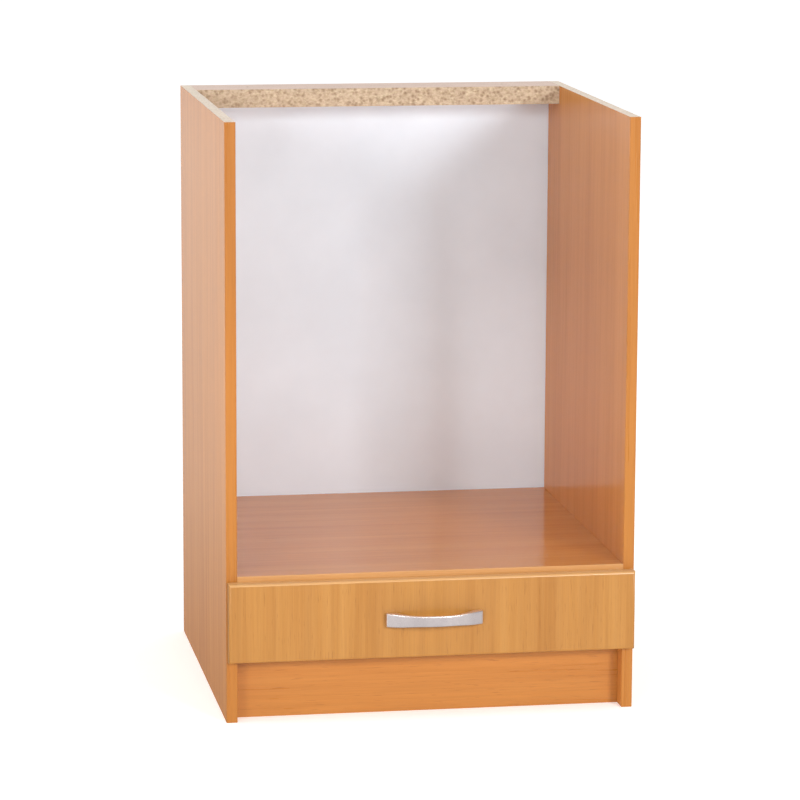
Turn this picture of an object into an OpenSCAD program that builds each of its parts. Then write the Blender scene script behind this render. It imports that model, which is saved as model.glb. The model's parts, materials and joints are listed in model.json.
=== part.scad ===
// Oven base cabinet: an open oven niche over one low drawer.
// Two full-height side panels stand on the floor and carry a bottom panel, an oven shelf, a top rear rail,
// a recessed plinth board and a hardboard back. The drawer runs on steel rails with nylon rollers.
// X runs across the front, Y from the front to the rear and Z up from the floor, in millimetres.

/* [Carcass] */
// Width over the two side panels
body_w = 600; // [500:10:900]
// Height of the side panels, which the worktop lies on
body_h = 870; // [820:5:920]
// Depth of the side panels with their front edging
body_d = 560; // [545:5:600]
// Thickness of the carcass boards
board_t = 16; // [15:1:19]
// Thickness of the edging on the front edges
edging_t = 1; // [0.4:0.1:2]
// Radius of the edging's eased front corners
edging_round = 0.8; // [0.2:0.1:1]
// Thickness of the hardboard back
back_t = 3; // [2.5:0.5:5]
// Distance from the outer faces to the edge of the back
back_inset = 2; // [1:0.5:4]

/* [Plinth and drawer opening] */
// Height of the plinth board, up to the bottom panel
plinth_h = 100; // [80:5:150]
// Distance from the front edges back to the plinth board
plinth_recess = 28; // [15:1:60]
// Clear height between the bottom panel and the oven shelf
opening_h = 84; // [80:1:120]

/* [Top rear rail] */
// Width of the rail from front to rear
rail_w = 80; // [70:5:120]
// Thickness of the rail
rail_t = 28; // [22:1:38]
// Distance between the two worktop screw holes
worktop_hole_gap = 400; // [200:10:420]
// Diameter of the worktop screw holes
worktop_hole_d = 5; // [4:0.5:6]

/* [Drawer front] */
// Height of the drawer front
front_h = 116; // [110:1:124]
// Thickness of the drawer front
front_t = 18; // [16:1:22]
// Gap at each side of the drawer front, inside the cabinet's width
front_side_gap = 1.5; // [0.5:0.5:4]
// Gap between the closed drawer front and the front edging
front_gap = 0.5; // [0.5:0.1:2]
// Radius of the rounded front edges
front_round = 4; // [2:0.5:6]
// Height of the shelf edge that shows over the drawer front
shelf_show = 8; // [4:0.5:12]

/* [Drawer box] */
// Thickness of the drawer box boards
box_t = 12; // [12:1:16]
// Height of the drawer box boards
box_h = 57; // [54:1:60]
// Thickness of the hardboard drawer bottom
box_bottom_t = 3; // [2.5:0.5:4]

/* [Runners] */
// Length of the rails and of the drawer box
runner_l = 500; // [450:10:520]
// Gap between a side panel and the drawer box, which the rails fill
runner_gap = 12.5; // [12.5:0.5:14]
// Thickness of the rail steel
steel_t = 1.2; // [1:0.1:1.5]
// Height of the rail channel's floor over the bottom panel
runner_lift = 7; // [5:0.5:9]
// Distance from the front edges back to the cabinet rails
runner_setback = 3; // [2:0.5:6]
// How far the drawer pulls out
travel = 370; // [300:5:380]
// Diameter of the rollers
roller_d = 17; // [15:0.5:18]
// Width of the rollers
roller_w = 6; // [5:0.5:6.5]
// Diameter of the roller axles
axle_d = 5; // [4:0.5:6]
// Distance from a rail's end to its roller axle
axle_inset = 12; // [10:0.5:16]

/* [Handle] */
// Distance between the handle's screws
handle_centres = 128; // [96:1:160]
// Length of the handle past each screw
handle_over = 7; // [6:0.5:12]
// Height of the handle at its ends
handle_end_h = 20; // [16:0.5:26]
// Height of the handle at its middle
handle_mid_h = 15; // [10:0.5:16]
// How far the middle stands out from the drawer front
handle_reach = 27; // [24:0.5:35]
// How far the ends stand out from the drawer front
handle_end_reach = 8; // [6:0.5:12]
// Thickness of the bow at its middle
handle_mid_t = 4.5; // [3.5:0.5:6]
// Width of each foot on the drawer front
handle_foot = 13; // [10:0.5:18]

/* [Joinery] */
// Diameter of the dowels
dowel_d = 8; // [6:1:8]
// Length of the dowels
dowel_l = 30; // [25:1:35]
// How deep a dowel goes into a side panel
dowel_in = 11; // [9:0.5:11]
// Diameter of the cam locks
cam_d = 15; // [12:1:15]
// Distance from a board's end to its cam locks
cam_inset = 34; // [24:1:40]
// Diameter of the cam bolts' smooth part
bolt_d = 6; // [5:0.5:7]
// How deep a cam bolt goes into a side panel
bolt_in = 11; // [9:0.5:12]
// Diameter of the wood screws
screw_d = 3.5; // [3:0.5:4]
// Diameter of the handle screws
handle_screw_d = 4; // [4:0.5:5]
// Diameter of the nails
nail_d = 1.6; // [1.2:0.1:2]
// Length of the nails
nail_l = 20; // [15:1:25]

/* [Hidden] */
$fn = 48;

// Clearances: round fasteners in their holes, rollers on their axles, and faces that run past each other
fastener_play = 0.05;
axle_play = 0.05;
run_play = 0.3;
// A cutter reaches this far past the face that it opens
past = 1;

// Widths, measured from the middle of the cabinet
half_w = body_w / 2;
inner_x = half_w - board_t;
box_x = inner_x - runner_gap;
box_inner_x = box_x - box_t;
front_w = body_w - 2 * front_side_gap;

// Heights
bottom_top = plinth_h + board_t;
shelf_z = bottom_top + opening_h;
shelf_top = shelf_z + board_t;
rail_z = body_h - rail_t;
front_top = shelf_top - shelf_show;
front_z = front_top - front_h;
handle_z = front_z + front_h / 2;

// Heights in the runners: both rollers turn at one height, under the drawer rail's track
roller_r = roller_d / 2;
channel_z = bottom_top + runner_lift;
axle_z = channel_z + run_play + roller_r;
track_z = axle_z + roller_r + run_play;
track_top = track_z + steel_t;
roof_play = 0.6;
roof_z = track_top + roof_play;
roof_top = roof_z + steel_t;
box_z = channel_z + box_bottom_t;
box_top = box_z + box_h;

// Depths: 0 is the plane of the front edging
front_back_y = -front_gap;
front_face_y = front_back_y - front_t;
box_rear_y = front_back_y + runner_l;
rail_front_y = body_d - rail_w;
rail_mid_y = body_d - rail_w / 2;
plinth_mid_y = plinth_recess + board_t / 2;
cabinet_rail_rear_y = runner_setback + runner_l;
drawer_rail_setback = 2;
drawer_rail_front_y = front_back_y + drawer_rail_setback;
front_axle_y = runner_setback + axle_inset;
rear_axle_y = box_rear_y - axle_inset;

// The part's own frame has its origin on the floor, at the middle of the whole depth
overall_front_y = front_face_y - handle_reach;
overall_rear_y = body_d + back_t;
frame_y = (overall_front_y + overall_rear_y) / 2;

// Joinery: a fitting pair is a cam bolt with a dowel beside it, at both ends of each board
fitting_edge = 50;
dowel_beside = 32;
panel_cam_y = [fitting_edge, body_d - fitting_edge];
panel_dowel_y = [fitting_edge + dowel_beside, body_d - fitting_edge - dowel_beside];
rail_dowel_edge = 16;
rail_dowel_y = [rail_front_y + rail_dowel_edge, body_d - rail_dowel_edge];
plinth_fitting_edge = 30;
plinth_cam_z = plinth_h - plinth_fitting_edge;
plinth_dowel_z = plinth_fitting_edge;
bottom_mid_z = plinth_h + board_t / 2;
shelf_mid_z = shelf_z + board_t / 2;
rail_mid_z = rail_z + rail_t / 2;
dowel_end_play = 0.5;

// Each cam fitting is [depth, height, thickness of its board, angle about X that turns its mouth]
bottom_cams = [for (y = panel_cam_y) [y, bottom_mid_z, board_t, 0]];
shelf_cams = [for (y = panel_cam_y) [y, shelf_mid_z, board_t, 0]];
rail_cams = [[rail_mid_y, rail_mid_z, rail_t, 0]];
plinth_cams = [[plinth_mid_y, plinth_cam_z, board_t, 90]];
all_cams = concat(bottom_cams, shelf_cams, rail_cams, plinth_cams);
// Each dowel is [depth, height]
bottom_dowels = [for (y = panel_dowel_y) [y, bottom_mid_z]];
shelf_dowels = [for (y = panel_dowel_y) [y, shelf_mid_z]];
rail_dowels = [for (y = rail_dowel_y) [y, rail_mid_z]];
plinth_dowels = [[plinth_mid_y, plinth_dowel_z]];
all_dowels = concat(bottom_dowels, shelf_dowels, rail_dowels, plinth_dowels);

// Cam lock and bolt
cam_past_axis = 4.5;
cam_floor_play = 0.3;
cam_pocket_play = 1.5;
cam_pocket_d = bolt_d + 2 * cam_pocket_play;
cam_slot_w = 1.2;
cam_slot_l = 8;
cam_slot_deep = 3;
bolt_thread_d = 5;
bolt_neck_d = 3.5;
bolt_neck_l = 6;
bolt_head_r = 3;
bolt_hole_play = 1;

// Screws
pan_head_d = 7;
pan_head_h = 1.6;
sink_head_d = 2 * screw_d;
side_screw_l = 13;
box_screw_l = 35;
drawer_rail_screw_l = 15;
front_screw_short = 5;
front_screw_l = box_t + front_t - front_screw_short;
handle_screw_in = 8;
handle_hole_in = 9;
nail_head_d = 4;
nail_head_h = 0.8;

// Screws along each rail, and the free slots between them
rail_screw_edge = 37;
cabinet_screw_y = [
    runner_setback + rail_screw_edge, runner_setback + runner_l / 2, cabinet_rail_rear_y - rail_screw_edge
];
drawer_screw_y = [
    front_back_y + rail_screw_edge, front_back_y + runner_l / 2, box_rear_y - rail_screw_edge
];
slot_l = 12;
slot_d = 4.5;
slot_beside = 32;

// Drawer box and front screws, and the bottom's nails
box_screw_over_track = 8;
box_screw_edge = 12;
box_screw_z = [track_top + box_screw_over_track, box_top - box_screw_edge];
box_screw_y = [front_back_y + box_t / 2, box_rear_y - box_t / 2];
front_screw_inset = 60;
front_screw_x = box_inner_x - front_screw_inset;
front_screw_edge = 14;
front_screw_z = [box_z + front_screw_edge, box_top - front_screw_edge];
bottom_nail_share = 0.7;
bottom_nail_x = [for (i = [-1:1]) i * bottom_nail_share * box_inner_x];

// Nails round the back, at even steps up each side and across each board
back_w = body_w - 2 * back_inset;
back_z = plinth_h + back_inset;
back_top = body_h - back_inset;
nail_edge = 40;
side_nail_count = 6;
side_nail_z = [
    for (i = [0:side_nail_count - 1])
        back_z + nail_edge + i * (back_top - back_z - 2 * nail_edge) / (side_nail_count - 1)
];
board_nail_share = 0.6;
board_nail_x = [for (i = [-1:1]) i * board_nail_share * inner_x];
board_nail_z = [bottom_mid_z, shelf_mid_z, rail_mid_z];

// The stop bump lies where the rear roller meets it at full pull, less the running gap
stop_r = 2.5;
stop_y = rear_axle_y - travel - sqrt(pow(roller_r + stop_r + run_play, 2) - pow(roller_r + run_play, 2));
// The rails' cross-section, measured inwards from the side panel
flange_free = 0.5;
flange_w = runner_gap - steel_t - flange_free;
roof_w = 7;
lip_h = 1.5;
flange_past_roller = 3;
flange_start = axle_inset + roller_r + flange_past_roller;
roller_mid = runner_gap / 2;
roller_in = roller_mid - roller_w / 2;
roller_out = roller_mid + roller_w / 2;
roller_wall = 1.8;
roller_dish = 0.8;
roller_ease = 0.5;
axle_head_t = 1;
axle_shoulder = 1.5;
axle_head_d = axle_d + 2 * axle_shoulder;
track_free = 0.8;

// Steps round the handle's long arcs
arc_steps = 180;

// Places everything in the part's own frame
module in_frame() {
    translate([0, -frame_y, 0]) children();
}

// Draws its children, and their mirror image on the left
module both_sides() {
    children();
    mirror([1, 0, 0]) children();
}

// A board from its low corner to its high corner
module board(low, high) {
    translate(low) cube(high - low);
}

// Cylinder along +X from a point
module rod_x(at, d, l) {
    translate(at) rotate([0, 90, 0]) cylinder(d = d, h = l);
}

// Cylinder along +Y from a point
module rod_y(at, d, l) {
    translate(at) rotate([-90, 0, 0]) cylinder(d = d, h = l);
}

// Screw with a countersunk head, its top face at z = 0 and its point down
module sunk_screw(d, l, play = 0) {
    head_h = (sink_head_d - screw_d) / 2;
    translate([0, 0, -head_h])
        cylinder(d1 = d + 2 * play, d2 = d + 2 * head_h + 2 * play, h = head_h);
    translate([0, 0, -l - play]) cylinder(d = d + 2 * play, h = l - head_h / 2 + play);
}

// Hole for a countersunk screw, open above its head
module sunk_hole(d, l) {
    head_h = (sink_head_d - screw_d) / 2;
    sunk_screw(d, l, fastener_play);
    cylinder(d = d + 2 * head_h + 2 * fastener_play, h = past);
}

// Screw with a pan head on the face at z = 0 and its point down
module pan_screw(d, l) {
    intersection() {
        cylinder(d = pan_head_d, h = pan_head_h);
        translate([0, 0, pan_head_h - pan_head_d]) sphere(r = pan_head_d);
    }
    translate([0, 0, -l]) cylinder(d = d, h = l);
}

// Hole for a pan head screw, open at z = 0
module pan_hole(d, l) {
    translate([0, 0, -l - fastener_play]) cylinder(d = d + 2 * fastener_play, h = l + past);
}

// Nail with a flat head let into the face at z = 0, its point down
module nail(play = 0) {
    translate([0, 0, -nail_head_h - play]) cylinder(d = nail_head_d + 2 * play, h = nail_head_h + play);
    translate([0, 0, -nail_l - play]) cylinder(d = nail_d + 2 * play, h = nail_l);
}

// Hole for a nail, open above its head
module nail_hole() {
    nail(fastener_play);
    cylinder(d = nail_head_d + 2 * fastener_play, h = past);
}

// Each nail of the back, turned so that it is driven in from the rear
module at_back_nails() {
    for (z = side_nail_z)
        both_sides() translate([half_w - board_t / 2, overall_rear_y, z]) rotate([-90, 0, 0]) children();
    for (z = board_nail_z)
        for (x = board_nail_x)
            translate([x, overall_rear_y, z]) rotate([-90, 0, 0]) children();
}

// Each cam lock of a list, with its mouth down and its bolt coming from +X
module at_cams(spots) {
    for (s = spots)
        both_sides() translate([inner_x - cam_inset, s[0], s[1]]) rotate([s[3], 0, 0]) children();
}

// The holes that one board's end takes for its cam locks, bolts and dowels
module board_end_holes(cams, dowels) {
    for (s = cams) {
        both_sides() translate([inner_x - cam_inset, s[0], s[1]]) rotate([s[3], 0, 0]) {
            half_t = s[2] / 2;
            translate([0, 0, -half_t - past])
                cylinder(d = cam_d + 2 * fastener_play, h = half_t + past + cam_past_axis + cam_floor_play);
            rotate([0, 90, 0]) cylinder(d = bolt_d + bolt_hole_play, h = cam_inset + past);
        }
    }
    for (s = dowels)
        both_sides() rod_x(
            [inner_x - (dowel_l - dowel_in) - dowel_end_play, s[0], s[1]],
            dowel_d + 2 * fastener_play, dowel_l - dowel_in + dowel_end_play + past
        );
}

// Each screw of the cabinet rails, its head facing the drawer
module at_cabinet_screws() {
    for (y = cabinet_screw_y)
        both_sides() translate([inner_x - steel_t, y, axle_z]) rotate([0, -90, 0]) children();
}

// The right side panel; the left one is its mirror image
module side_panel() {
    difference() {
        board([inner_x, edging_t, 0], [half_w, body_d, body_h]);
        for (s = all_cams)
            rod_x(
                [inner_x - past, s[0], s[1]],
                bolt_thread_d + 2 * fastener_play, bolt_in + dowel_end_play + past
            );
        for (s = all_dowels)
            rod_x(
                [inner_x - past, s[0], s[1]],
                dowel_d + 2 * fastener_play, dowel_in + dowel_end_play + past
            );
        at_cabinet_screws() sunk_hole(screw_d, side_screw_l);
        at_back_nails() nail_hole();
    }
}

module right_side_panel() {
    color("burlywood") in_frame() side_panel();
}

module left_side_panel() {
    color("burlywood") in_frame() mirror([1, 0, 0]) side_panel();
}

// A slab's outline seen from its end, with its two front corners rounded; the rear lies at y = 0
module eased_outline(w, t, r) {
    intersection() {
        translate([0, -t]) square([w, t]);
        union() {
            translate([0, r - t]) square([w, t]);
            translate([r, -t]) square([w - 2 * r, t]);
            for (x = [r, w - r]) translate([x, r - t]) circle(r = r);
        }
    }
}

// An edging strip of a given length along +Z, its rear on the board's raw edge
module edging(l) {
    linear_extrude(l) eased_outline(board_t, edging_t, min(edging_round, edging_t));
}

// The edging strip on the right side panel's front edge
module side_edging() {
    translate([inner_x, edging_t, 0]) edging(body_h);
}

// The edging strip on the front edge of a board between the side panels
module level_edging(z) {
    translate([inner_x, edging_t, z]) rotate([0, -90, 0]) edging(2 * inner_x);
}

module right_side_edging() {
    color("sandybrown") in_frame() side_edging();
}

module left_side_edging() {
    color("sandybrown") in_frame() mirror([1, 0, 0]) side_edging();
}

// A board between the side panels, from the edging back to the rear plane
module level_panel(z, cams, dowels) {
    difference() {
        board([-inner_x, edging_t, z], [inner_x, body_d, z + board_t]);
        board_end_holes(cams, dowels);
        at_back_nails() nail_hole();
    }
}

module bottom_panel() {
    color("burlywood") in_frame() level_panel(plinth_h, bottom_cams, bottom_dowels);
}

module bottom_panel_edging() {
    color("sandybrown") in_frame() level_edging(plinth_h);
}

module oven_shelf() {
    color("tan") in_frame() level_panel(shelf_z, shelf_cams, shelf_dowels);
}

module oven_shelf_edging() {
    color("sandybrown") in_frame() level_edging(shelf_z);
}

// The raw rail that ties the side panels together at the top and takes the worktop's screws
module top_rear_rail() {
    color("wheat") in_frame() difference() {
        board([-inner_x, rail_front_y, rail_z], [inner_x, body_d, body_h]);
        board_end_holes(rail_cams, rail_dowels);
        for (x = [-1, 1] * worktop_hole_gap / 2)
            translate([x, rail_mid_y, rail_z - past]) cylinder(d = worktop_hole_d, h = rail_t + 2 * past);
        at_back_nails() nail_hole();
    }
}

module plinth_board() {
    color("peru") in_frame() difference() {
        board([-inner_x, plinth_recess, 0], [inner_x, plinth_recess + board_t, plinth_h]);
        board_end_holes(plinth_cams, plinth_dowels);
    }
}

module back_panel() {
    color("white") in_frame() difference() {
        board([-back_w / 2, body_d, back_z], [back_w / 2, overall_rear_y, back_top]);
        at_back_nails() nail_hole();
    }
}

module back_panel_nails() {
    color("silver") in_frame() at_back_nails() nail();
}

module beech_dowels() {
    color("moccasin") in_frame() for (s = all_dowels)
        both_sides() rod_x([inner_x - (dowel_l - dowel_in), s[0], s[1]], dowel_d, dowel_l);
}

// A bolt screwed into the side panel, with a neck and a round head that the cam pulls on
module cam_bolts() {
    color("silver") in_frame() for (s = all_cams)
        both_sides() translate([inner_x, s[0], s[1]]) rotate([0, 90, 0]) {
            cylinder(d = bolt_thread_d, h = bolt_in);
            translate([0, 0, bolt_neck_l - cam_inset]) cylinder(d = bolt_d, h = cam_inset - bolt_neck_l);
            translate([0, 0, -cam_inset]) cylinder(d = bolt_neck_d, h = bolt_neck_l + past);
            translate([0, 0, -cam_inset]) sphere(r = bolt_head_r);
        }
}

// A slotted cam: its pocket lets the bolt's head in, and its slot turns it
module cam_lock(t) {
    difference() {
        translate([0, 0, -t / 2]) cylinder(d = cam_d, h = t / 2 + cam_past_axis);
        rotate([0, 90, 0]) cylinder(d = cam_pocket_d, h = cam_d);
        sphere(d = cam_pocket_d);
        for (turn = [0, 90]) rotate([0, 0, turn])
            translate([-cam_slot_l / 2, -cam_slot_w / 2, -t / 2 - past])
                cube([cam_slot_l, cam_slot_w, cam_slot_deep + past]);
    }
}

module cam_locks() {
    color("gainsboro") in_frame() for (s = all_cams) at_cams([s]) cam_lock(s[2]);
}

// A slot with round ends, cut through the steel of a rail's web from the side panel inwards
module rail_slot(x, y, z) {
    translate([x - past, y, z]) rotate([90, 0, 90]) linear_extrude(steel_t + 2 * past) {
        square([slot_l - slot_d, slot_d], center = true);
        for (e = [-1, 1] * (slot_l - slot_d) / 2) translate([e, 0]) circle(d = slot_d);
    }
}

// A rail's upright web with one round end, seen from the side: the end lies at front, or at rear
module web_outline(front, rear, low, high, round_front) {
    r = (high - low) / 2;
    end_y = round_front ? front + r : rear - r;
    translate([round_front ? end_y : front, low]) square([rear - front - r, high - low]);
    translate([end_y, low + r]) circle(r = r);
}

// Right-hand rail on the side panel: a web, a channel floor with a lip and a stop bump, and a roof
module cabinet_rail() {
    web_x = inner_x - steel_t;
    floor_x = inner_x - flange_w;
    y0 = runner_setback + flange_start;
    difference() {
        union() {
            translate([web_x, 0, 0]) rotate([90, 0, 90]) linear_extrude(steel_t)
                web_outline(runner_setback, cabinet_rail_rear_y, channel_z - steel_t, roof_top, true);
            board([floor_x, y0, channel_z - steel_t], [inner_x, cabinet_rail_rear_y, channel_z]);
            board([floor_x, y0, channel_z - steel_t],
                [floor_x + steel_t, cabinet_rail_rear_y, channel_z + lip_h]);
            board([inner_x - roof_w, y0, roof_z], [inner_x, cabinet_rail_rear_y, roof_top]);
            intersection() {
                rod_x([floor_x, stop_y, channel_z], 2 * stop_r, flange_w);
                board([floor_x, stop_y - stop_r, channel_z - steel_t / 2],
                    [inner_x, stop_y + stop_r, channel_z + stop_r]);
            }
        }
        at_cabinet_screws() sunk_hole(screw_d, side_screw_l);
        for (y = cabinet_screw_y) {
            inward = y > runner_setback + runner_l / 2 ? -1 : 1;
            rail_slot(web_x, y + inward * slot_beside, axle_z);
        }
        rod_x([web_x - past, front_axle_y, axle_z], axle_d + 2 * fastener_play, steel_t + 2 * past);
    }
}

module cabinet_rail_right() {
    color("whitesmoke") in_frame() cabinet_rail();
}

module cabinet_rail_left() {
    color("whitesmoke") in_frame() mirror([1, 0, 0]) cabinet_rail();
}

module cabinet_rail_screws() {
    color("silver") in_frame() at_cabinet_screws() sunk_screw(screw_d, side_screw_l);
}

// A riveted axle along +Z from its rail's far face at z = 0: a shoulder, the roller's seat and a head
module roller_axle() {
    head_z = roller_out + run_play;
    cylinder(d = axle_d, h = head_z + axle_head_t);
    translate([0, 0, steel_t]) cylinder(d = axle_head_d, h = roller_in - run_play - steel_t);
    translate([0, 0, head_z]) cylinder(d = axle_head_d, h = axle_head_t);
}

module cabinet_roller_axles() {
    color("silver") in_frame() both_sides()
        translate([inner_x, front_axle_y, axle_z]) rotate([0, -90, 0]) roller_axle();
}

module drawer_roller_axles() {
    color("silver") in_frame() both_sides()
        translate([box_x, rear_axle_y, axle_z]) rotate([0, 90, 0]) roller_axle();
}

// A nylon roller along +Z from its flat side: hub, thin web and a rim with eased edges
module roller() {
    bore_r = axle_d / 2 + axle_play;
    hub_r = bore_r + roller_wall;
    rim_r = roller_r - roller_wall;
    rotate_extrude() polygon([
        [bore_r, 0], [hub_r, 0], [hub_r, roller_dish],
        [rim_r, roller_dish], [rim_r, 0], [roller_r - roller_ease, 0], [roller_r, roller_ease],
        [roller_r, roller_w - roller_ease], [roller_r - roller_ease, roller_w], [rim_r, roller_w],
        [rim_r, roller_w - roller_dish], [hub_r, roller_w - roller_dish], [hub_r, roller_w],
        [bore_r, roller_w]
    ]);
}

module right_roller(y) {
    translate([inner_x - roller_out, y, axle_z]) rotate([0, 90, 0]) roller();
}

module cabinet_roller_right() {
    color("lightgray") in_frame() right_roller(front_axle_y);
}

module cabinet_roller_left() {
    color("lightgray") in_frame() mirror([1, 0, 0]) right_roller(front_axle_y);
}

module drawer_roller_right() {
    color("lightgray") in_frame() right_roller(rear_axle_y);
}

module drawer_roller_left() {
    color("lightgray") in_frame() mirror([1, 0, 0]) right_roller(rear_axle_y);
}

// Each handle screw, its head on the inner front's rear face
module at_handle_screws() {
    for (x = [-1, 1] * handle_centres / 2)
        translate([x, front_back_y + box_t, handle_z]) rotate([-90, 0, 0]) children();
}

// Each screw that holds the drawer front to the inner front
module at_front_screws() {
    for (z = front_screw_z)
        both_sides() translate([front_screw_x, front_back_y + box_t, z]) rotate([-90, 0, 0]) children();
}

// The full-width front with rounded edges all round its face
module drawer_front() {
    color("sandybrown") in_frame() difference() {
        intersection() {
            translate([-front_w / 2, front_back_y, front_z]) linear_extrude(front_h)
                eased_outline(front_w, front_t, front_round);
            translate([front_w / 2, front_back_y, front_z]) rotate([0, -90, 0]) linear_extrude(front_w)
                eased_outline(front_h, front_t, front_round);
        }
        at_handle_screws() pan_hole(handle_screw_d, box_t + front_t + past);
        at_front_screws() pan_hole(screw_d, front_screw_l);
    }
}

// Radius of the arc over a half chord with the given rise
function arc_r(half_chord, rise) = (half_chord * half_chord + rise * rise) / (2 * rise);

// A cast bow: seen from above, the space between two arcs, thick at the feet and thin at the middle;
// seen from the front, taller at its ends, with hollow upper and lower edges
module drawer_handle() {
    half_l = handle_centres / 2 + handle_over;
    foot_x = half_l - handle_foot;
    inner_reach = handle_reach - handle_mid_t;
    outer_r = arc_r(half_l, handle_reach - handle_end_reach);
    inner_r = arc_r(foot_x, inner_reach);
    edge_r = arc_r(half_l, (handle_end_h - handle_mid_h) / 2);
    color("silver") in_frame() translate([0, front_face_y, handle_z]) difference() {
        intersection() {
            translate([0, 0, -handle_end_h / 2]) linear_extrude(handle_end_h) difference() {
                intersection() {
                    translate([-half_l, -handle_reach]) square([2 * half_l, handle_reach]);
                    translate([0, outer_r - handle_reach]) circle(r = outer_r, $fn = arc_steps);
                }
                translate([0, inner_r - inner_reach]) circle(r = inner_r, $fn = arc_steps);
            }
            rotate([90, 0, 0]) linear_extrude(handle_reach) difference() {
                square([2 * half_l, handle_end_h], center = true);
                for (s = [-1, 1])
                    translate([0, s * (handle_mid_h / 2 + edge_r)]) circle(r = edge_r, $fn = 2 * arc_steps);
            }
        }
        for (x = [-1, 1] * handle_centres / 2)
            rod_y([x, -handle_hole_in, 0], handle_screw_d + 2 * fastener_play, handle_hole_in + past);
    }
}

module handle_screws() {
    color("silver") in_frame() at_handle_screws()
        pan_screw(handle_screw_d, box_t + front_t + handle_screw_in);
}

module drawer_front_screws() {
    color("silver") in_frame() at_front_screws() pan_screw(screw_d, front_screw_l);
}

// Each screw through a drawer side into the end of the inner front or the drawer back
module at_box_screws() {
    for (y = box_screw_y)
        for (z = box_screw_z)
            both_sides() translate([box_x, y, z]) rotate([0, 90, 0]) children();
}

// Each screw up through a drawer rail's foot into the drawer side
module at_drawer_screws() {
    for (y = drawer_screw_y)
        both_sides() translate([box_x - box_t / 2, y, channel_z - steel_t]) rotate([180, 0, 0]) children();
}

// Each nail up through the drawer bottom into the inner front and the drawer back
module at_bottom_nails() {
    for (y = box_screw_y)
        for (x = bottom_nail_x)
            translate([x, y, channel_z]) rotate([180, 0, 0]) children();
}

// Right-hand board of the drawer box
module drawer_side() {
    difference() {
        board([box_inner_x, front_back_y, box_z], [box_x, box_rear_y, box_top]);
        at_box_screws() sunk_hole(screw_d, box_screw_l);
        at_drawer_screws() pan_hole(screw_d, drawer_rail_screw_l);
    }
}

module drawer_side_right() {
    color("ivory") in_frame() drawer_side();
}

module drawer_side_left() {
    color("ivory") in_frame() mirror([1, 0, 0]) drawer_side();
}

module drawer_inner_front() {
    color("ivory") in_frame() difference() {
        board([-box_inner_x, front_back_y, box_z], [box_inner_x, front_back_y + box_t, box_top]);
        at_box_screws() sunk_hole(screw_d, box_screw_l);
        at_bottom_nails() nail_hole();
        at_handle_screws() pan_hole(handle_screw_d, box_t + past);
        at_front_screws() pan_hole(screw_d, box_t + past);
    }
}

module drawer_back() {
    color("ivory") in_frame() difference() {
        board([-box_inner_x, box_rear_y - box_t, box_z], [box_inner_x, box_rear_y, box_top]);
        at_box_screws() sunk_hole(screw_d, box_screw_l);
        at_bottom_nails() nail_hole();
    }
}

module drawer_bottom() {
    color("white") in_frame() difference() {
        board([-box_x, front_back_y, channel_z], [box_x, box_rear_y, box_z]);
        at_bottom_nails() nail_hole();
        at_drawer_screws() pan_hole(screw_d, drawer_rail_screw_l);
    }
}

module drawer_box_screws() {
    color("silver") in_frame() at_box_screws() sunk_screw(screw_d, box_screw_l);
}

module drawer_bottom_nails() {
    color("silver") in_frame() at_bottom_nails() nail();
}

// Right-hand rail on the drawer: a foot under the side, a web beside it and a track over the front roller
module drawer_rail() {
    web_x = box_x;
    difference() {
        union() {
            translate([web_x, 0, 0]) rotate([90, 0, 90]) linear_extrude(steel_t)
                web_outline(drawer_rail_front_y, box_rear_y, channel_z - steel_t, track_top, false);
            board([box_x - box_t, drawer_rail_front_y, channel_z - steel_t],
                [box_x + steel_t, box_rear_y - axle_inset, channel_z]);
            board([box_x, drawer_rail_front_y, track_z],
                [inner_x - steel_t - track_free, box_rear_y - axle_inset, track_top]);
        }
        at_drawer_screws() pan_hole(screw_d, drawer_rail_screw_l);
        rod_x([web_x - past, rear_axle_y, axle_z], axle_d + 2 * fastener_play, steel_t + 2 * past);
    }
}

module drawer_rail_right() {
    color("whitesmoke") in_frame() drawer_rail();
}

module drawer_rail_left() {
    color("whitesmoke") in_frame() mirror([1, 0, 0]) drawer_rail();
}

module drawer_rail_screws() {
    color("silver") in_frame() at_drawer_screws() pan_screw(screw_d, drawer_rail_screw_l);
}

left_side_panel();
right_side_panel();
left_side_edging();
right_side_edging();
bottom_panel();
bottom_panel_edging();
oven_shelf();
oven_shelf_edging();
top_rear_rail();
plinth_board();
back_panel();
back_panel_nails();
beech_dowels();
cam_bolts();
cam_locks();
cabinet_rail_left();
cabinet_rail_right();
cabinet_rail_screws();
cabinet_roller_axles();
cabinet_roller_left();
cabinet_roller_right();
drawer_front();
drawer_handle();
handle_screws();
drawer_front_screws();
drawer_inner_front();
drawer_side_left();
drawer_side_right();
drawer_back();
drawer_bottom();
drawer_box_screws();
drawer_bottom_nails();
drawer_rail_left();
drawer_rail_right();
drawer_rail_screws();
drawer_roller_axles();
drawer_roller_left();
drawer_roller_right();
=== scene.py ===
# %% [markdown]
# # Oven base cabinet
# A base cabinet for a built-in oven is a plain carcass: two tall side panels, a shelf that the oven
# stands on, a low drawer under it, a recessed plinth and a hardboard back. The construction model
# already holds every board, rail and screw at its real size and place. This lesson gives each of them
# its finished shape and surface, one kind of piece at a time.
#
# Loading comes first.

# %% Load the construction model
import json
import math

import bmesh
import bpy
from mathutils import Matrix, Vector


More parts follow.
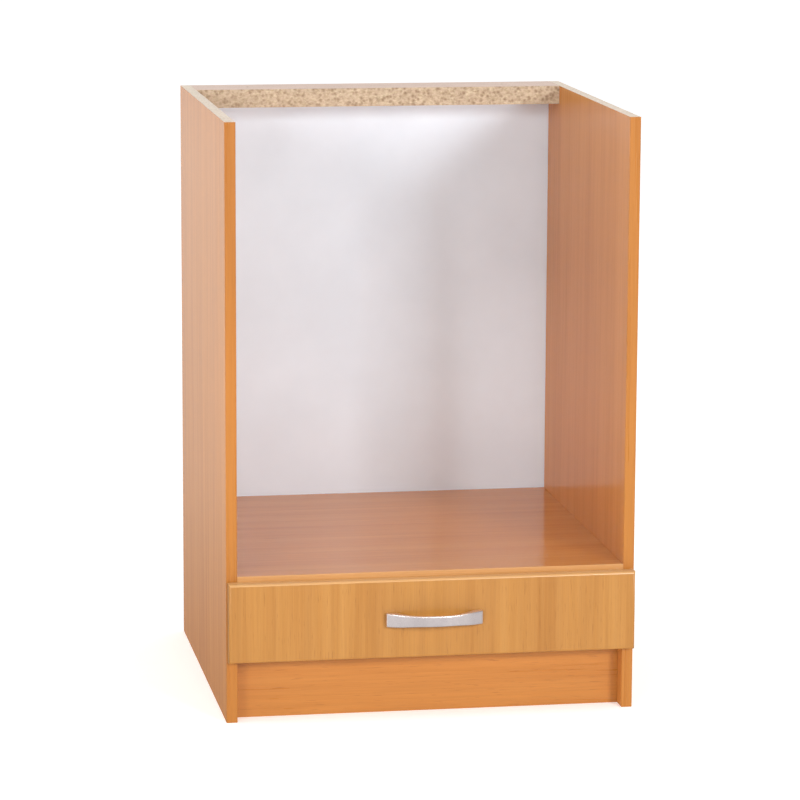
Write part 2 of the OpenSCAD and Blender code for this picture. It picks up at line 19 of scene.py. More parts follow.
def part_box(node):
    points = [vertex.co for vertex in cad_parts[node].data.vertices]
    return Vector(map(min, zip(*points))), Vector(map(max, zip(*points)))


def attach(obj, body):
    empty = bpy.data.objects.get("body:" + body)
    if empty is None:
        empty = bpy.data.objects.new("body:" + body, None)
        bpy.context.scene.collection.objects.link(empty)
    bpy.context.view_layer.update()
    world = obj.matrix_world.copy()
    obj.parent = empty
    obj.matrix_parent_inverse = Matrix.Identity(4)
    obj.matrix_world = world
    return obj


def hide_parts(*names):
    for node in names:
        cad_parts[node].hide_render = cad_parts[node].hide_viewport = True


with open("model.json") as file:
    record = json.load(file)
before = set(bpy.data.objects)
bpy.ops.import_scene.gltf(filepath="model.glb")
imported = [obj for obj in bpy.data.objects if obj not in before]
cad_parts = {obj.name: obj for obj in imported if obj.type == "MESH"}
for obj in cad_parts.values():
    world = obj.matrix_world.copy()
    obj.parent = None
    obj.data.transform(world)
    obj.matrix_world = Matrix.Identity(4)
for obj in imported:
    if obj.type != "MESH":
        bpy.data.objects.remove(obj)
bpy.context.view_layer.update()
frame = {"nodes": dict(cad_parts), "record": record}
print("CAD nodes:", len(frame["nodes"]))

# %% [markdown]
# ## The camera
# The picture that we match was taken with a long lens from the left, a little above the worktop's
# height. A long lens keeps upright boards nearly parallel. The camera is placed by its own position and
# by three turns: a pan to the right, a tilt down and a trace of roll. Three numbers that can be read are
# easier to correct than a matrix, so the matrix is built from them.

# %% Set up the camera
camera_at = Vector((-0.913, -5.292, 1.395))
camera_pan = math.radians(-9.75)
camera_tilt = math.radians(-10.29)
camera_roll = math.radians(0.26)
lens_mm = 163

bpy.ops.object.camera_add()
camera = bpy.context.active_object
camera.name = "view_camera"
level_ahead = math.radians(90)
camera.matrix_world = (
    Matrix.Translation(camera_at)
    @ Matrix.Rotation(camera_pan, 4, "Z")
    @ Matrix.Rotation(level_ahead + camera_tilt, 4, "X")
    @ Matrix.Rotation(camera_roll, 4, "Z")
)
camera.data.lens = lens_mm
camera.data.clip_end = 50
bpy.context.scene.camera = camera
bpy.context.scene.view_settings.view_transform = "Standard"
print("Camera at", tuple(camera_at), "with a lens of", lens_mm, "mm")

# %% [markdown]
# ## Hand tools
# Operators act on everything that is selected, and the import leaves the whole model selected. So one
# helper puts everything down, and another picks up just the piece that is being worked on. Faces and
# edges are chosen in code by a rule, such as "all edges of the broad faces", which keeps working when a
# size changes. A list of edge numbers wouldn't.

# %% Hand tools
mm = 0.001
hair = 0.001 * mm


def put_down():
    """Nothing stays selected, so that the next operator acts on one piece only."""
    for thing in list(bpy.context.selected_objects):
        thing.select_set(False)


def pick_up(*pieces):
    """Only these pieces are selected, and the first is the active one."""
    put_down()
    for piece in pieces:
        piece.select_set(True)
    bpy.context.view_layer.objects.active = pieces[0]


def edit(piece):
    pick_up(piece)
    bpy.ops.object.mode_set(mode="EDIT")


def done():
    bpy.ops.object.mode_set(mode="OBJECT")


def choose(kind, rule):
    """In edit mode, selects the corners, edges or faces of the active piece that a rule accepts."""
    mesh = bpy.context.active_object.data
    bpy.ops.mesh.select_mode(type=kind)
    bpy.ops.mesh.select_all(action="DESELECT")
    shape = bmesh.from_edit_mesh(mesh)
    parts = {"VERT": shape.verts, "EDGE": shape.edges, "FACE": shape.faces}[kind]
    for part in parts:
        if rule(part):
            part.select_set(True)
    shape.select_flush_mode()
    bmesh.update_edit_mesh(mesh)


def freeze(piece):
    """Puts a piece's place, turn and scale into its mesh."""
    pick_up(piece)
    bpy.ops.object.transform_apply(location=True, rotation=True, scale=True)
    return piece


def named(name):
    """Names the piece that an operator has just added."""
    piece = bpy.context.active_object
    piece.name = name
    piece.data.name = name
    return piece


def rough_block(name, low, high):
    """A block of material between two corners."""
    low, high = Vector(low), Vector(high)
    put_down()
    bpy.ops.mesh.primitive_cube_add(size=1, location=(low + high) / 2, scale=high - low)
    return freeze(named(name))


def apply_modifier(piece, kind, **settings):
    """Adds one modifier, sets it and applies it."""
    pick_up(piece)
    modifier = piece.modifiers.new(kind.lower(), kind)
    for key, value in settings.items():
        setattr(modifier, key, value)
    bpy.ops.object.modifier_apply(modifier=modifier.name)


def smooth(piece, degrees=35):
    """Shades curves smooth. Weighting by area keeps the broad flat faces flat beside a fine bevel."""
    pick_up(piece)
    bpy.ops.object.shade_smooth_by_angle(angle=math.radians(degrees))
    apply_modifier(piece, "WEIGHTED_NORMAL", keep_sharp=True)


def twin(piece, name):
    """A copy of a piece with its own mesh."""
    copy = piece.copy()
    copy.data = piece.data.copy()
    copy.name = name
    copy.data.name = name
    bpy.context.scene.collection.objects.link(copy)
    return copy


def mirrored(piece, name):
    """The left-hand copy of a right-hand piece."""
    copy = twin(piece, name)
    copy.scale.x = -1
    freeze(copy)
    edit(copy)
    bpy.ops.mesh.select_all(action="SELECT")
    bpy.ops.mesh.normals_make_consistent(inside=False)
    done()
    return copy


def joined(name, pieces):
    """Several pieces made one."""
    pick_up(*pieces)
    if len(pieces) > 1:
        bpy.ops.object.join()
    return freeze(named(name))


print("Hand tools ready")

# %% [markdown]
# ## Cutting and drilling
# A screw, dowel or cam sits in a hole, and the finished boards should have those holes too. The places
# are not typed in again: a copy of the construction model's own fasteners, made a hair thicker, is the
# cutter. A boolean modifier then takes it out of the board. The model's mesh comes as loose triangles,
# so the copy is merged before it is used.
#
# Cam locks are slotted and hollow, and would leave crumbs in their holes, so their holes are drilled with
# plain cylinders instead, each at the place of one lock.

# %% Cutting and drilling
drill_play = 0.05 * mm
drill_past = 1 * mm
quarter_turn = math.radians(90)


def rod(name, radius, length, middle, turn=(0, 0, 0), sides=32):
    """A round bar about its middle, upright unless it is turned."""
    put_down()
    bpy.ops.mesh.primitive_cylinder_add(
        vertices=sides, radius=radius, depth=length, location=middle, rotation=turn,
    )
    return freeze(named(name))


def cut(piece, cutter):
    """Takes a cutter out of a piece, and throws the cutter away."""
    apply_modifier(piece, "BOOLEAN", operation="DIFFERENCE", solver="EXACT", object=cutter)
    bpy.data.objects.remove(cutter)


def drill(piece, *nodes):
    """Makes room in a piece for the fasteners of some CAD nodes."""
    for node in nodes:
        mesh = frame["nodes"][node].data.copy()
        cutter = bpy.data.objects.new("cutter", mesh)
        bpy.context.scene.collection.objects.link(cutter)
        edit(cutter)
        bpy.ops.mesh.select_all(action="SELECT")
        bpy.ops.mesh.remove_doubles(threshold=hair)
        bpy.ops.transform.shrink_fatten(value=drill_play)
        done()
        cut(piece, cutter)


def loose_parts(node):
    """The boxes of the separate solids inside one CAD node, as (low, high) corners."""
    shape = bmesh.new()
    shape.from_mesh(frame["nodes"][node].data)
    bmesh.ops.remove_doubles(shape, verts=shape.verts, dist=hair)
    waiting = set(shape.verts)
    boxes = []
    while waiting:
        front = [waiting.pop()]
        spots = []
        while front:
            vert = front.pop()
            spots.append(vert.co.copy())
            for edge in vert.link_edges:
                other = edge.other_vert(vert)
                if other in waiting:
                    waiting.discard(other)
                    front.append(other)
        low = Vector(min(spot[axis] for spot in spots) for axis in range(3))
        high = Vector(max(spot[axis] for spot in spots) for axis in range(3))
        boxes.append((low, high))
    shape.free()
    return sorted(boxes, key=lambda box: tuple(round(value, 5) for value in box[0]))


def overlaps(box, other):
    """Whether two boxes, each a pair of corners, share some room."""
    return all(box[0][axis] < other[1][axis] and other[0][axis] < box[1][axis] for axis in range(3))


def drill_cams(piece, board_node):
    """Drills the round cam holes of one board."""
    for low, high in loose_parts("cam_locks"):
        if not overlaps((low, high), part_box(board_node)):
            continue
        size = high - low
        upright = abs(size.x - size.y) < mm
        axis = Vector((0, 0, 1)) if upright else Vector((0, 1, 0))
        cut(piece, rod(
            "cutter", size.x / 2 + drill_play, size.dot(axis) + drill_past,
            (low + high) / 2 - axis * drill_past / 2,
            turn=(0, 0, 0) if upright else (quarter_turn, 0, 0), sides=48,
        ))


print("Fasteners to drill for:", {node: len(loose_parts(node)) for node in ("cam_locks", "beech_dowels")})

# %% [markdown]
# ## A kit for surfaces
# Every surface here is a procedural material: noise textures, stretched along the grain, drive the
# colour, the roughness and a fine bump. They read Object coordinates. All pieces have their origin at the
# frame's origin, so one metre in the texture is one metre on the cabinet, and nothing slides when the
# drawer moves.
#
# Small helpers keep the recipes short: they start a material, add a node and wire it, stretch a pattern
# along the grain, turn a grey value into colours, mix two colours and stack bumps. Colours are written as
# they look on a screen, from 0 to 255, and turned into the linear values that the shader wants.

# %% A kit for surfaces
def tone(red, green, blue):
    """A screen colour as the linear colour of a shader."""
    def linear(value):
        value /= 255
        return value / 12.92 if value <= 0.04045 else ((value + 0.055) / 1.055) ** 2.4
    return (linear(red), linear(green), linear(blue), 1)


def new_finish(name, roughness=0.5, metallic=0.0, specular=0.5):
    """A material with its shader's constants set on the shader itself."""
    material = bpy.data.materials.new(name)
    material.use_nodes = True
    shader = material.node_tree.nodes["Principled BSDF"]
    shader.inputs["Roughness"].default_value = roughness
    shader.inputs["Metallic"].default_value = metallic
    shader.inputs["Specular IOR Level"].default_value = specular
    return material


def add(material, kind, inputs=None, **settings):
    """Adds a node. An input is a value, or the output of another node."""
    tree = material.node_tree
    fresh = tree.nodes.new("ShaderNode" + kind)
    for key, value in settings.items():
        setattr(fresh, key, value)
    for key, value in (inputs or {}).items():
        if isinstance(value, bpy.types.NodeSocket):
            tree.links.new(value, fresh.inputs[key])
        else:
            fresh.inputs[key].default_value = value
    return fresh


def shade(material, socket, value):
    """Wires a value to the shader."""
    shader = material.node_tree.nodes["Principled BSDF"]
    material.node_tree.links.new(value, shader.inputs[socket])


def place_on(material, scale=(1, 1, 1), shift=(0, 0, 0)):
    """Object coordinates in metres, stretched and shifted."""
    spot = add(material, "TexCoord").outputs["Object"]
    return add(material, "Mapping", {"Vector": spot, "Scale": scale, "Location": shift}).outputs["Vector"]


def noise(material, vector, detail=3.0, rough=0.55, distortion=0.0):
    """A cloudy grey pattern. The vector carries its scale."""
    return add(
        material, "TexNoise",
        {"Vector": vector, "Scale": 1.0, "Detail": detail, "Roughness": rough, "Distortion": distortion},
    ).outputs["Fac"]


def ramp(material, fac, stops):
    """Colours or greys at places from 0 to 1 along a ramp."""
    ramp_node = add(material, "ValToRGB", {"Fac": fac})
    elements = ramp_node.color_ramp.elements
    while len(elements) < len(stops):
        elements.new(0.5)
    for element, (place, colour) in zip(elements, stops):
        element.position = place
        element.color = colour if isinstance(colour, tuple) else (colour, colour, colour, 1)
    return ramp_node.outputs["Color"]


def mixed(material, fac, first, second, blend="MIX"):
    """Two colours mixed or blended."""
    node = add(material, "Mix", data_type="RGBA", blend_type=blend)
    links = material.node_tree.links
    for socket, value in (("Factor_Float", fac), ("A_Color", first), ("B_Color", second)):
        target = next(s for s in node.inputs if s.identifier == socket)
        if isinstance(value, bpy.types.NodeSocket):
            links.new(value, target)
        else:
            target.default_value = value
    return next(s for s in node.outputs if s.identifier == "Result_Color")


def bumped(material, *layers):
    """Layers of height, each (height, strength in metres)."""
    normal = None
    for height, depth in layers:
        inputs = {"Height": height, "Distance": depth, "Strength": 1.0}
        if normal:
            inputs["Normal"] = normal
        normal = add(material, "Bump", inputs).outputs["Normal"]
    shade(material, "Normal", normal)


print("Surface kit ready")

# %% [markdown]
# ## Wood-look finishes
# The boards are chipboard under a printed paper that looks like alder. Such a print has four scales:
# bands of colour as wide as two fingers, streaks a few millimetres wide, hair-fine fibres, and short dark
# pores. Each is one noise, stretched along the grain. Where a print shows the wavy arches of a board
# sawn near the middle of the trunk, the streaks are bent by a slower noise first.
#
# The melamine over the paper is smooth, so it mirrors what is beside it at a low angle. That makes the
# milky haze on the shelf and on the inner wall, and no colour in the print has to imitate it.

# %% Wood-look finishes
def stretch(along, across, lengthwise):
    """Noise scales, in cells per metre, across the grain and along it."""
    return tuple(lengthwise if axis == along else across for axis in range(3))


def wood_print(
    name, along, light, middle, dark, pore, gloss,
    shift=(0, 0, 0), waves=0.0, pores=0.5, shine=0.5,
):
    """A printed wood grain under a clear skin, its grain along one axis."""
    material = new_finish(name, roughness=gloss, specular=shine)
    bands = noise(material, place_on(material, stretch(along, 26, 1.1), shift), detail=2, distortion=0.4)
    streak_spot = place_on(material, stretch(along, 88, 2.2), shift)
    if waves:
        slow = add(material, "TexNoise", {
            "Vector": place_on(material, stretch(along, 16, 7), shift), "Scale": 1.0, "Detail": 1.0,
        }).outputs["Color"]
        streak_spot = mixed(material, waves, streak_spot, slow, blend="LINEAR_LIGHT")
    streaks = noise(material, streak_spot, detail=4, rough=0.6)
    fibres = noise(material, place_on(material, stretch(along, 620, 9), shift), detail=3, rough=0.6)
    flecks = noise(material, place_on(material, stretch(along, 560, 34), shift), detail=2, rough=0.5)

    broad = ramp(material, bands, [(0.36, dark), (0.50, middle), (0.62, light)])
    narrow = ramp(material, streaks, [(0.34, dark), (0.48, middle), (0.64, light)])
    colour = mixed(material, 0.5, broad, narrow)
    fine = ramp(material, fibres, [(0.35, 0.94), (0.65, 1.03)])
    colour = mixed(material, 1.0, colour, fine, blend="MULTIPLY")
    where = ramp(material, flecks, [(0.62, 0.0), (0.72, pores)])
    colour = mixed(material, where, colour, pore)
    shade(material, "Base Color", colour)

    shade(material, "Roughness", ramp(material, streaks, [(0.3, gloss * 0.85), (0.7, gloss * 1.25)]))
    bumped(material, (fibres, 0.004 * mm), (flecks, 0.008 * mm))
    return material


alder_upright = wood_print(
    "alder_melamine_upright", 2, tone(210, 141, 72), tone(205, 136, 67), tone(197, 128, 61),
    tone(163, 99, 44), gloss=0.16, shine=0.08, pores=0.3,
)
alder_level = wood_print(
    "alder_melamine_level", 0, tone(201, 132, 62), tone(195, 125, 56), tone(186, 115, 48),
    tone(149, 87, 33), gloss=0.14, shine=0.25, shift=(0.3, 0.1, 0.6), waves=0.06, pores=0.35,
)
alder_kick = wood_print(
    "alder_melamine_plinth", 0, tone(189, 122, 51), tone(182, 115, 46), tone(172, 105, 38),
    tone(136, 78, 26), gloss=0.3, shift=(1.1, 0.4, 0.2), waves=0.3, pores=0.4,
)
alder_foil = wood_print(
    "alder_foil_upright", 2, tone(182, 127, 58), tone(175, 119, 51), tone(164, 108, 43),
    tone(134, 83, 30), gloss=0.33, shift=(0.7, 0.2, 0.1), pores=0.45,
)
# A paler foil for the top and upper rounding of the drawer's face: a painted highlight for the light from
# above.
painted_highlight_foil = wood_print(
    "alder_foil_painted_highlight", 0, tone(208, 160, 102), tone(202, 152, 93), tone(192, 141, 82),
    tone(170, 120, 66), gloss=0.28, shift=(0.7, 0.2, 0.1), pores=0.05,
)
edge_upright = wood_print(
    "edge_strip_upright", 2, tone(181, 115, 42), tone(175, 109, 37), tone(166, 100, 32),
    tone(140, 81, 26), gloss=0.28, pores=0.2,
)
# The level strips are paler and greyer than the upright ones: a painted highlight for the lit band along the
# shelf's front.
painted_highlight_edge_level = wood_print(
    "edge_strip_level_painted_highlight", 0, tone(202, 148, 90), tone(196, 141, 82), tone(188, 131, 72),
    tone(160, 104, 52), gloss=0.25, pores=0.2,
)
wood_looks = (alder_upright, alder_level, alder_kick, alder_foil, painted_highlight_foil, edge_upright, painted_highlight_edge_level)
print("Wood-look finishes:", [finish.name for finish in wood_looks])

# %% [markdown]
# ## Raw chipboard
# Where a board is sawn and left bare, its chips show: flat shreds of pale wood, glued with dust, with
# dark slivers and small holes between them. Voronoi cells, longer than they are high, give the shreds,
# each with its own shade. A noise blurs them together, as dust does. The dark spots are the middles of a
# second set of cells, and a slow noise crowds them in some places and thins them out in others.
# The sawn edge is coarse, because the middle of a board has the biggest chips, and the flat face is fine
# and sanded.

# %% Raw chipboard
def chipboard(name, chip, light, pale, middle, dark, depth, slivers, rough=0.85):
    """Bare chipboard, with chips of a given length in metres. slivers is how much the dark ones show."""
    material = new_finish(name, roughness=rough, specular=0.3)
    cells = 1 / chip
    spot = place_on(material, (cells * 0.8, cells * 1.6, cells * 1.6))
    warp = add(material, "TexNoise", {"Vector": spot, "Scale": 1.1, "Detail": 2.0}).outputs["Color"]
    bent = mixed(material, 0.3, spot, warp, blend="LINEAR_LIGHT")
    chips = add(material, "TexVoronoi", {"Vector": bent, "Scale": 1.0, "Randomness": 1.0}).outputs["Color"]
    shade_of_chip = add(material, "SeparateColor", {"Color": chips}).outputs["Red"]
    dust = noise(material, place_on(material, (cells * 1.4, cells * 2, cells * 2)), detail=4, rough=0.7)
    slivers_at = mixed(
        material, 0.42, place_on(material, (cells,) * 3, (3, 5, 7)), warp, blend="LINEAR_LIGHT",
    )
    gaps = add(
        material, "TexVoronoi", {"Vector": slivers_at, "Scale": 0.8, "Randomness": 1.0},
    ).outputs["Distance"]
    crowding = noise(material, place_on(material, (cells * 0.5,) * 3, (9, 2, 4)), detail=2)
    patches = noise(material, place_on(material, (22, 22, 22)), detail=2)

    stepped = ramp(material, shade_of_chip, [(0.05, middle), (0.35, pale), (0.7, pale), (0.95, light)])
    dusty = ramp(material, dust, [(0.32, middle), (0.5, pale), (0.68, light)])
    colour = mixed(material, 0.6, stepped, dusty)
    spots = ramp(material, gaps, [(0.15, slivers), (0.62, 0.0)])
    holes = mixed(material, 1.0, spots, ramp(material, crowding, [(0.34, 0.0), (0.52, 1.0)]), "MULTIPLY")
    colour = mixed(material, holes, colour, dark)
    colour = mixed(material, 1.0, colour, ramp(material, patches, [(0.3, 0.96), (0.7, 1.03)]), "MULTIPLY")
    shade(material, "Base Color", colour)
    shade(material, "Roughness", ramp(material, dust, [(0.3, rough - 0.1), (0.7, min(1.0, rough + 0.1))]))
    bumped(material, (holes, -depth), (dust, depth * 0.6))
    return material


chip_sawn = chipboard(
    "chipboard_sawn", 5 * mm, tone(214, 199, 168), tone(192, 170, 147), tone(170, 150, 119),
    tone(132, 106, 80), depth=0.3 * mm, slivers=0.75,
)
chip_sanded = chipboard(
    "chipboard_sanded", 1.6 * mm, tone(240, 220, 208), tone(232, 208, 194), tone(218, 192, 174),
    tone(168, 136, 108), depth=0.05 * mm, slivers=0.3, rough=0.75,
)
chip_edge = chipboard(
    "chipboard_edge", 3 * mm, tone(248, 236, 222), tone(240, 226, 208), tone(226, 206, 184),
    tone(176, 148, 120), depth=0.12 * mm, slivers=0.35,
)
print("Chipboard finishes:", chip_sawn.name, chip_sanded.name, chip_edge.name)

# %% [markdown]
# ## Lacquer, plastic and metal
# The back is hardboard: white lacquer in front, and the brown, felt-like sieve side behind. The drawer
# box is white melamine, the runners are powder-coated steel, and their rollers are nylon. The handle is
# cast and plated with satin nickel, and the small fasteners are zinc-plated or plain beech.
#
# None of these is one flat colour. Lacquer has a faint ripple, powder coat an orange-peel skin, plating a
# fine brushing and cloudy roughness, and beech short brown rays.

# %% Lacquer, plastic and metal
def painted(name, light, dark, gloss, cell, depth, drift_cell=0.11, **constants):
    """A coat of paint, lacquer or plating: cloudy in colour and gloss, with a skin of small bumps."""
    material = new_finish(name, roughness=gloss, **constants)
    clouds = noise(material, place_on(material, (1 / drift_cell,) * 3), detail=3)
    skin = noise(material, place_on(material, (1 / cell,) * 3), detail=2)
    shade(material, "Base Color", ramp(material, clouds, [(0.3, dark), (0.7, light)]))
    shade(material, "Roughness", ramp(material, clouds, [(0.3, gloss * 0.85), (0.7, gloss * 1.2)]))
    bumped(material, (skin, depth))
    return material


def brushed(name, light, dark, gloss, along):
    """Satin metal, brushed along one axis."""
    material = new_finish(name, roughness=gloss, metallic=1.0)
    strokes = noise(material, place_on(material, stretch(along, 2600, 60)), detail=3, rough=0.6)
    clouds = noise(material, place_on(material, (45, 45, 45)), detail=3)
    shade(material, "Base Color", ramp(material, clouds, [(0.3, dark), (0.7, light)]))
    shade(material, "Roughness", ramp(material, strokes, [(0.3, gloss * 0.8), (0.7, gloss * 1.25)]))
    bumped(material, (strokes, 0.004 * mm), (clouds, 0.01 * mm))
    return material


def sieve_side(name):
    """The rough side of hardboard, with the print of the sieve that it was pressed on."""
    material = new_finish(name, roughness=0.8)
    fluff = noise(material, place_on(material, (260, 260, 260)), detail=5, rough=0.7)
    blotch = noise(material, place_on(material, (7, 7, 7)), detail=3)
    sieve = add(material, "TexVoronoi", {
        "Vector": place_on(material, (620, 620, 620)), "Scale": 1.0, "Randomness": 0.15,
    }).outputs["Distance"]
    colour = ramp(material, fluff, [
        (0.3, tone(104, 74, 50)), (0.5, tone(132, 98, 68)), (0.7, tone(158, 122, 86)),
    ])
    colour = mixed(material, 1.0, colour, ramp(material, blotch, [(0.3, 0.86), (0.7, 1.08)]), "MULTIPLY")
    shade(material, "Base Color", colour)
    shade(material, "Roughness", ramp(material, fluff, [(0.3, 0.7), (0.7, 0.92)]))
    bumped(material, (sieve, 0.12 * mm), (fluff, 0.08 * mm))
    return material


white_lacquer = painted(
    "white_lacquer", tone(223, 234, 245), tone(217, 228, 239), gloss=0.22, cell=3 * mm, depth=0.012 * mm,
)
white_melamine = painted(
    "white_melamine", tone(238, 236, 232), tone(230, 228, 223), gloss=0.38, cell=0.9 * mm, depth=0.01 * mm,
)
powder_coat = painted(
    "powder_coat", tone(236, 235, 230), tone(225, 224, 218), gloss=0.35, cell=0.8 * mm, depth=0.02 * mm,
)
nylon = painted(
    "nylon_natural", tone(226, 224, 212), tone(208, 205, 192), gloss=0.42, cell=0.5 * mm, depth=0.01 * mm,
    drift_cell=0.02,
)
zinc = painted(
    "zinc_plating", tone(196, 200, 206), tone(160, 164, 170), gloss=0.34, cell=0.35 * mm, depth=0.008 * mm,
    drift_cell=0.006, metallic=1.0,
)
satin_nickel = brushed("satin_nickel", tone(234, 223, 220), tone(220, 209, 208), gloss=0.3, along=0)
hardboard_brown = sieve_side("hardboard_sieve_side")
beech = wood_print(
    "beech_dowel", 0, tone(226, 194, 152), tone(212, 176, 132), tone(190, 152, 110), tone(140, 98, 66),
    gloss=0.6, pores=0.5,
)
print("Finishes in all:", len(bpy.data.materials))

# %% [markdown]
# ## Sawing boards
# A melamine board has two printed faces and four narrow raw ones. It starts as a block, the edges round
# its two broad faces get the tiny chamfer that a file leaves, and the holes are drilled. Only then does
# each face get its finish: the print on whatever lies at the board's two skins, and bare chips on
# everything else, the insides of the holes included.

# %% Sawing boards
arris = 0.3 * mm


def dress(piece, *coats):
    """Each coat is a finish and a rule; a face wears the last coat whose rule accepts it."""
    piece.data.materials.clear()
    for finish, rule in coats:
        piece.data.materials.append(finish)
    for face in piece.data.polygons:
        for index, (finish, rule) in enumerate(coats):
            if rule(face):
                face.material_index = index


def anywhere(part):
    """The rule that accepts every face or edge."""
    return True


def on_skin(node, thin):
    """The rule for faces that lie at a board's two broad sides."""
    low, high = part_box(node)

    def rule(face):
        depth = min(abs(face.center[thin] - low[thin]), abs(face.center[thin] - high[thin]))
        return abs(face.normal[thin]) > 0.5 and depth < arris
    return rule


def round_edges(rule, offset, segments=1):
    """In edit mode, bevels the edges that a rule accepts."""
    choose("EDGE", rule)
    bpy.ops.mesh.bevel(offset=offset, segments=segments, affect="EDGES")


def saw_board(name, node, thin, skin, core, fasteners=(), cams=False):
    """A board as big as its CAD node, thin along one axis."""
    board = rough_block(name, *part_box(node))
    edit(board)
    round_edges(lambda edge: abs(edge.verts[0].co[thin] - edge.verts[1].co[thin]) < hair, arris)
    done()
    drill(board, *fasteners)
    if cams:
        drill_cams(board, node)
    dress(board, (core, anywhere), (skin, on_skin(node, thin)))
    smooth(board)
    return board


def fit(piece, body, slot, *nodes):
    """Hangs a finished piece on its body, in place of CAD nodes."""
    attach(piece, body)
    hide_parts(*nodes)
    print(f"{piece.name}: {len(piece.data.polygons)} faces, for {', '.join(nodes)}")


# %% [markdown]
# ## Carcass boards
# The uprights stand on the floor with their grain upright; the shelf, the bottom and the plinth lie
# between them with their grain across. The uprights' top ends stay raw, as a worktop will cover them.

# %% Carcass boards
side_fasteners = ("beech_dowels", "cam_bolts", "cabinet_rail_screws", "back_panel_nails")
for side in ("left", "right"):
    upright = saw_board(f"{side}_upright", f"{side}_side_panel", 0, alder_upright, chip_edge, side_fasteners)
    fit(upright, "carcass", "alder_board", f"{side}_side_panel")

level_fasteners = ("beech_dowels", "cam_bolts", "back_panel_nails")
for name, node in (("bottom_board", "bottom_panel"), ("niche_shelf", "oven_shelf")):
    level = saw_board(name, node, 2, alder_level, chip_edge, level_fasteners, cams=True)
    fit(level, "carcass", "alder_board", node)

kick_board = saw_board(
    "kick_board", "plinth_board", 1, alder_kick, chip_edge, ("beech_dowels", "cam_bolts"), cams=True
)
fit(kick_board, "carcass", "alder_board", "plinth_board")

# %% [markdown]
# ## Lipping
# The front edges are closed by a millimetre of glued strip, whose two front corners are rounded so that
# they don't cut. That rounding is what catches the light as a thin bright line, so it is bevelled in
# three steps and not left to the shader. The level boards' strips are printed paler, a painted highlight.

# %% Lipping
lipping_round = 0.8 * mm


def lipping(name, node, along, finish):
    """One strip, as long as its CAD node, with its two long front edges rounded."""
    low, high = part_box(node)

    def front_and_long(edge):
        start, end = (vert.co for vert in edge.verts)
        return max(start.y, end.y) < low.y + hair and abs(start[along] - end[along]) > lipping_round

    strip = rough_block(name, low, high)
    edit(strip)
    round_edges(front_and_long, lipping_round, 3)
    done()
    dress(strip, (finish, anywhere))
    smooth(strip)
    return strip


for name, node, along, finish in (
    ("left_lipping", "left_side_edging", 2, edge_upright),
    ("right_lipping", "right_side_edging", 2, edge_upright),
    ("bottom_lipping", "bottom_panel_edging", 0, painted_highlight_edge_level),
    ("shelf_lipping", "oven_shelf_edging", 0, painted_highlight_edge_level),
):
    fit(lipping(name, node, along, finish), "carcass", "edge_strip", node)

# %% [markdown]
# ## The bare worktop rail
# The rail at the top is unfaced chipboard, and its sawn front is the roughest surface of the cabinet: the
# saw pulls whole chips out. A bump alone would leave its outline ruler-straight. So the front face is
# cut into a fine grid, and a displace modifier pushes its points inwards by up to a third of a
# millimetre. Pushing only inwards keeps the rail within its real size. The two upright holes are for the
# screws that hold the worktop.

# %% The bare worktop rail
torn_depth = 0.35 * mm
torn_cell = 3.5 * mm
rail_lengths = 20
front_grid = 11
worktop_hole_r = 2.5 * mm
worktop_hole_x = 200 * mm


def along_the_rail(edge):
    return abs(edge.verts[0].co.x - edge.verts[1].co.x) > arris


rail_low, rail_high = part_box("top_rear_rail")
worktop_rail = rough_block("worktop_rail", rail_low, rail_high)
edit(worktop_rail)
round_edges(along_the_rail, arris)
choose("EDGE", along_the_rail)
bpy.ops.mesh.subdivide(number_cuts=rail_lengths - 1)
done()
drill(worktop_rail, "beech_dowels", "cam_bolts", "back_panel_nails")
drill_cams(worktop_rail, "top_rear_rail")
rail_middle = (rail_low + rail_high) / 2
for x in (-worktop_hole_x, worktop_hole_x):
    hole_middle = (x, rail_middle.y, rail_middle.z)
    cut(worktop_rail, rod("cutter", worktop_hole_r, 2 * (rail_high.z - rail_low.z), hole_middle))

edit(worktop_rail)
choose("FACE", lambda face: face.normal.y < -0.9 and face.calc_center_median().y < rail_low.y + hair)
bpy.ops.mesh.subdivide(number_cuts=front_grid - 1)
done()
torn = worktop_rail.vertex_groups.new(name="torn")
torn.add([v.index for v in worktop_rail.data.vertices if v.co.y < rail_low.y + hair], 1.0, "REPLACE")
torn_chips = bpy.data.textures.new("torn_chips", "CLOUDS")
torn_chips.noise_scale = torn_cell
torn_chips.noise_depth = 2
apply_modifier(
    worktop_rail, "DISPLACE", texture=torn_chips, vertex_group="torn", direction="Y",
    mid_level=0.0, strength=torn_depth,
)
dress(worktop_rail, (chip_sawn, anywhere), (chip_sanded, on_skin("top_rear_rail", 2)))
fit(worktop_rail, "carcass", "raw_chipboard", "top_rear_rail")

# %% [markdown]
# ## The back
# The back is a thin sheet that is nailed on from behind, so from behind one sees its brown side and a
# row of nail heads round the rim.

# %% The back
def hardboard_sheet(name, node, fasteners, white, white_side):
    """A sheet of hardboard, brown but for the side that a rule accepts."""
    sheet = rough_block(name, *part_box(node))
    edit(sheet)
    round_edges(anywhere, arris, 2)
    done()
    drill(sheet, *fasteners)
    dress(sheet, (hardboard_brown, anywhere), (white, white_side))
    smooth(sheet)
    return sheet


hardboard_back = hardboard_sheet(
    "hardboard_back", "back_panel", ("back_panel_nails",), white_lacquer, lambda face: face.normal.y < -0.9,
)
fit(hardboard_back, "carcass", "white_hardboard", "back_panel")
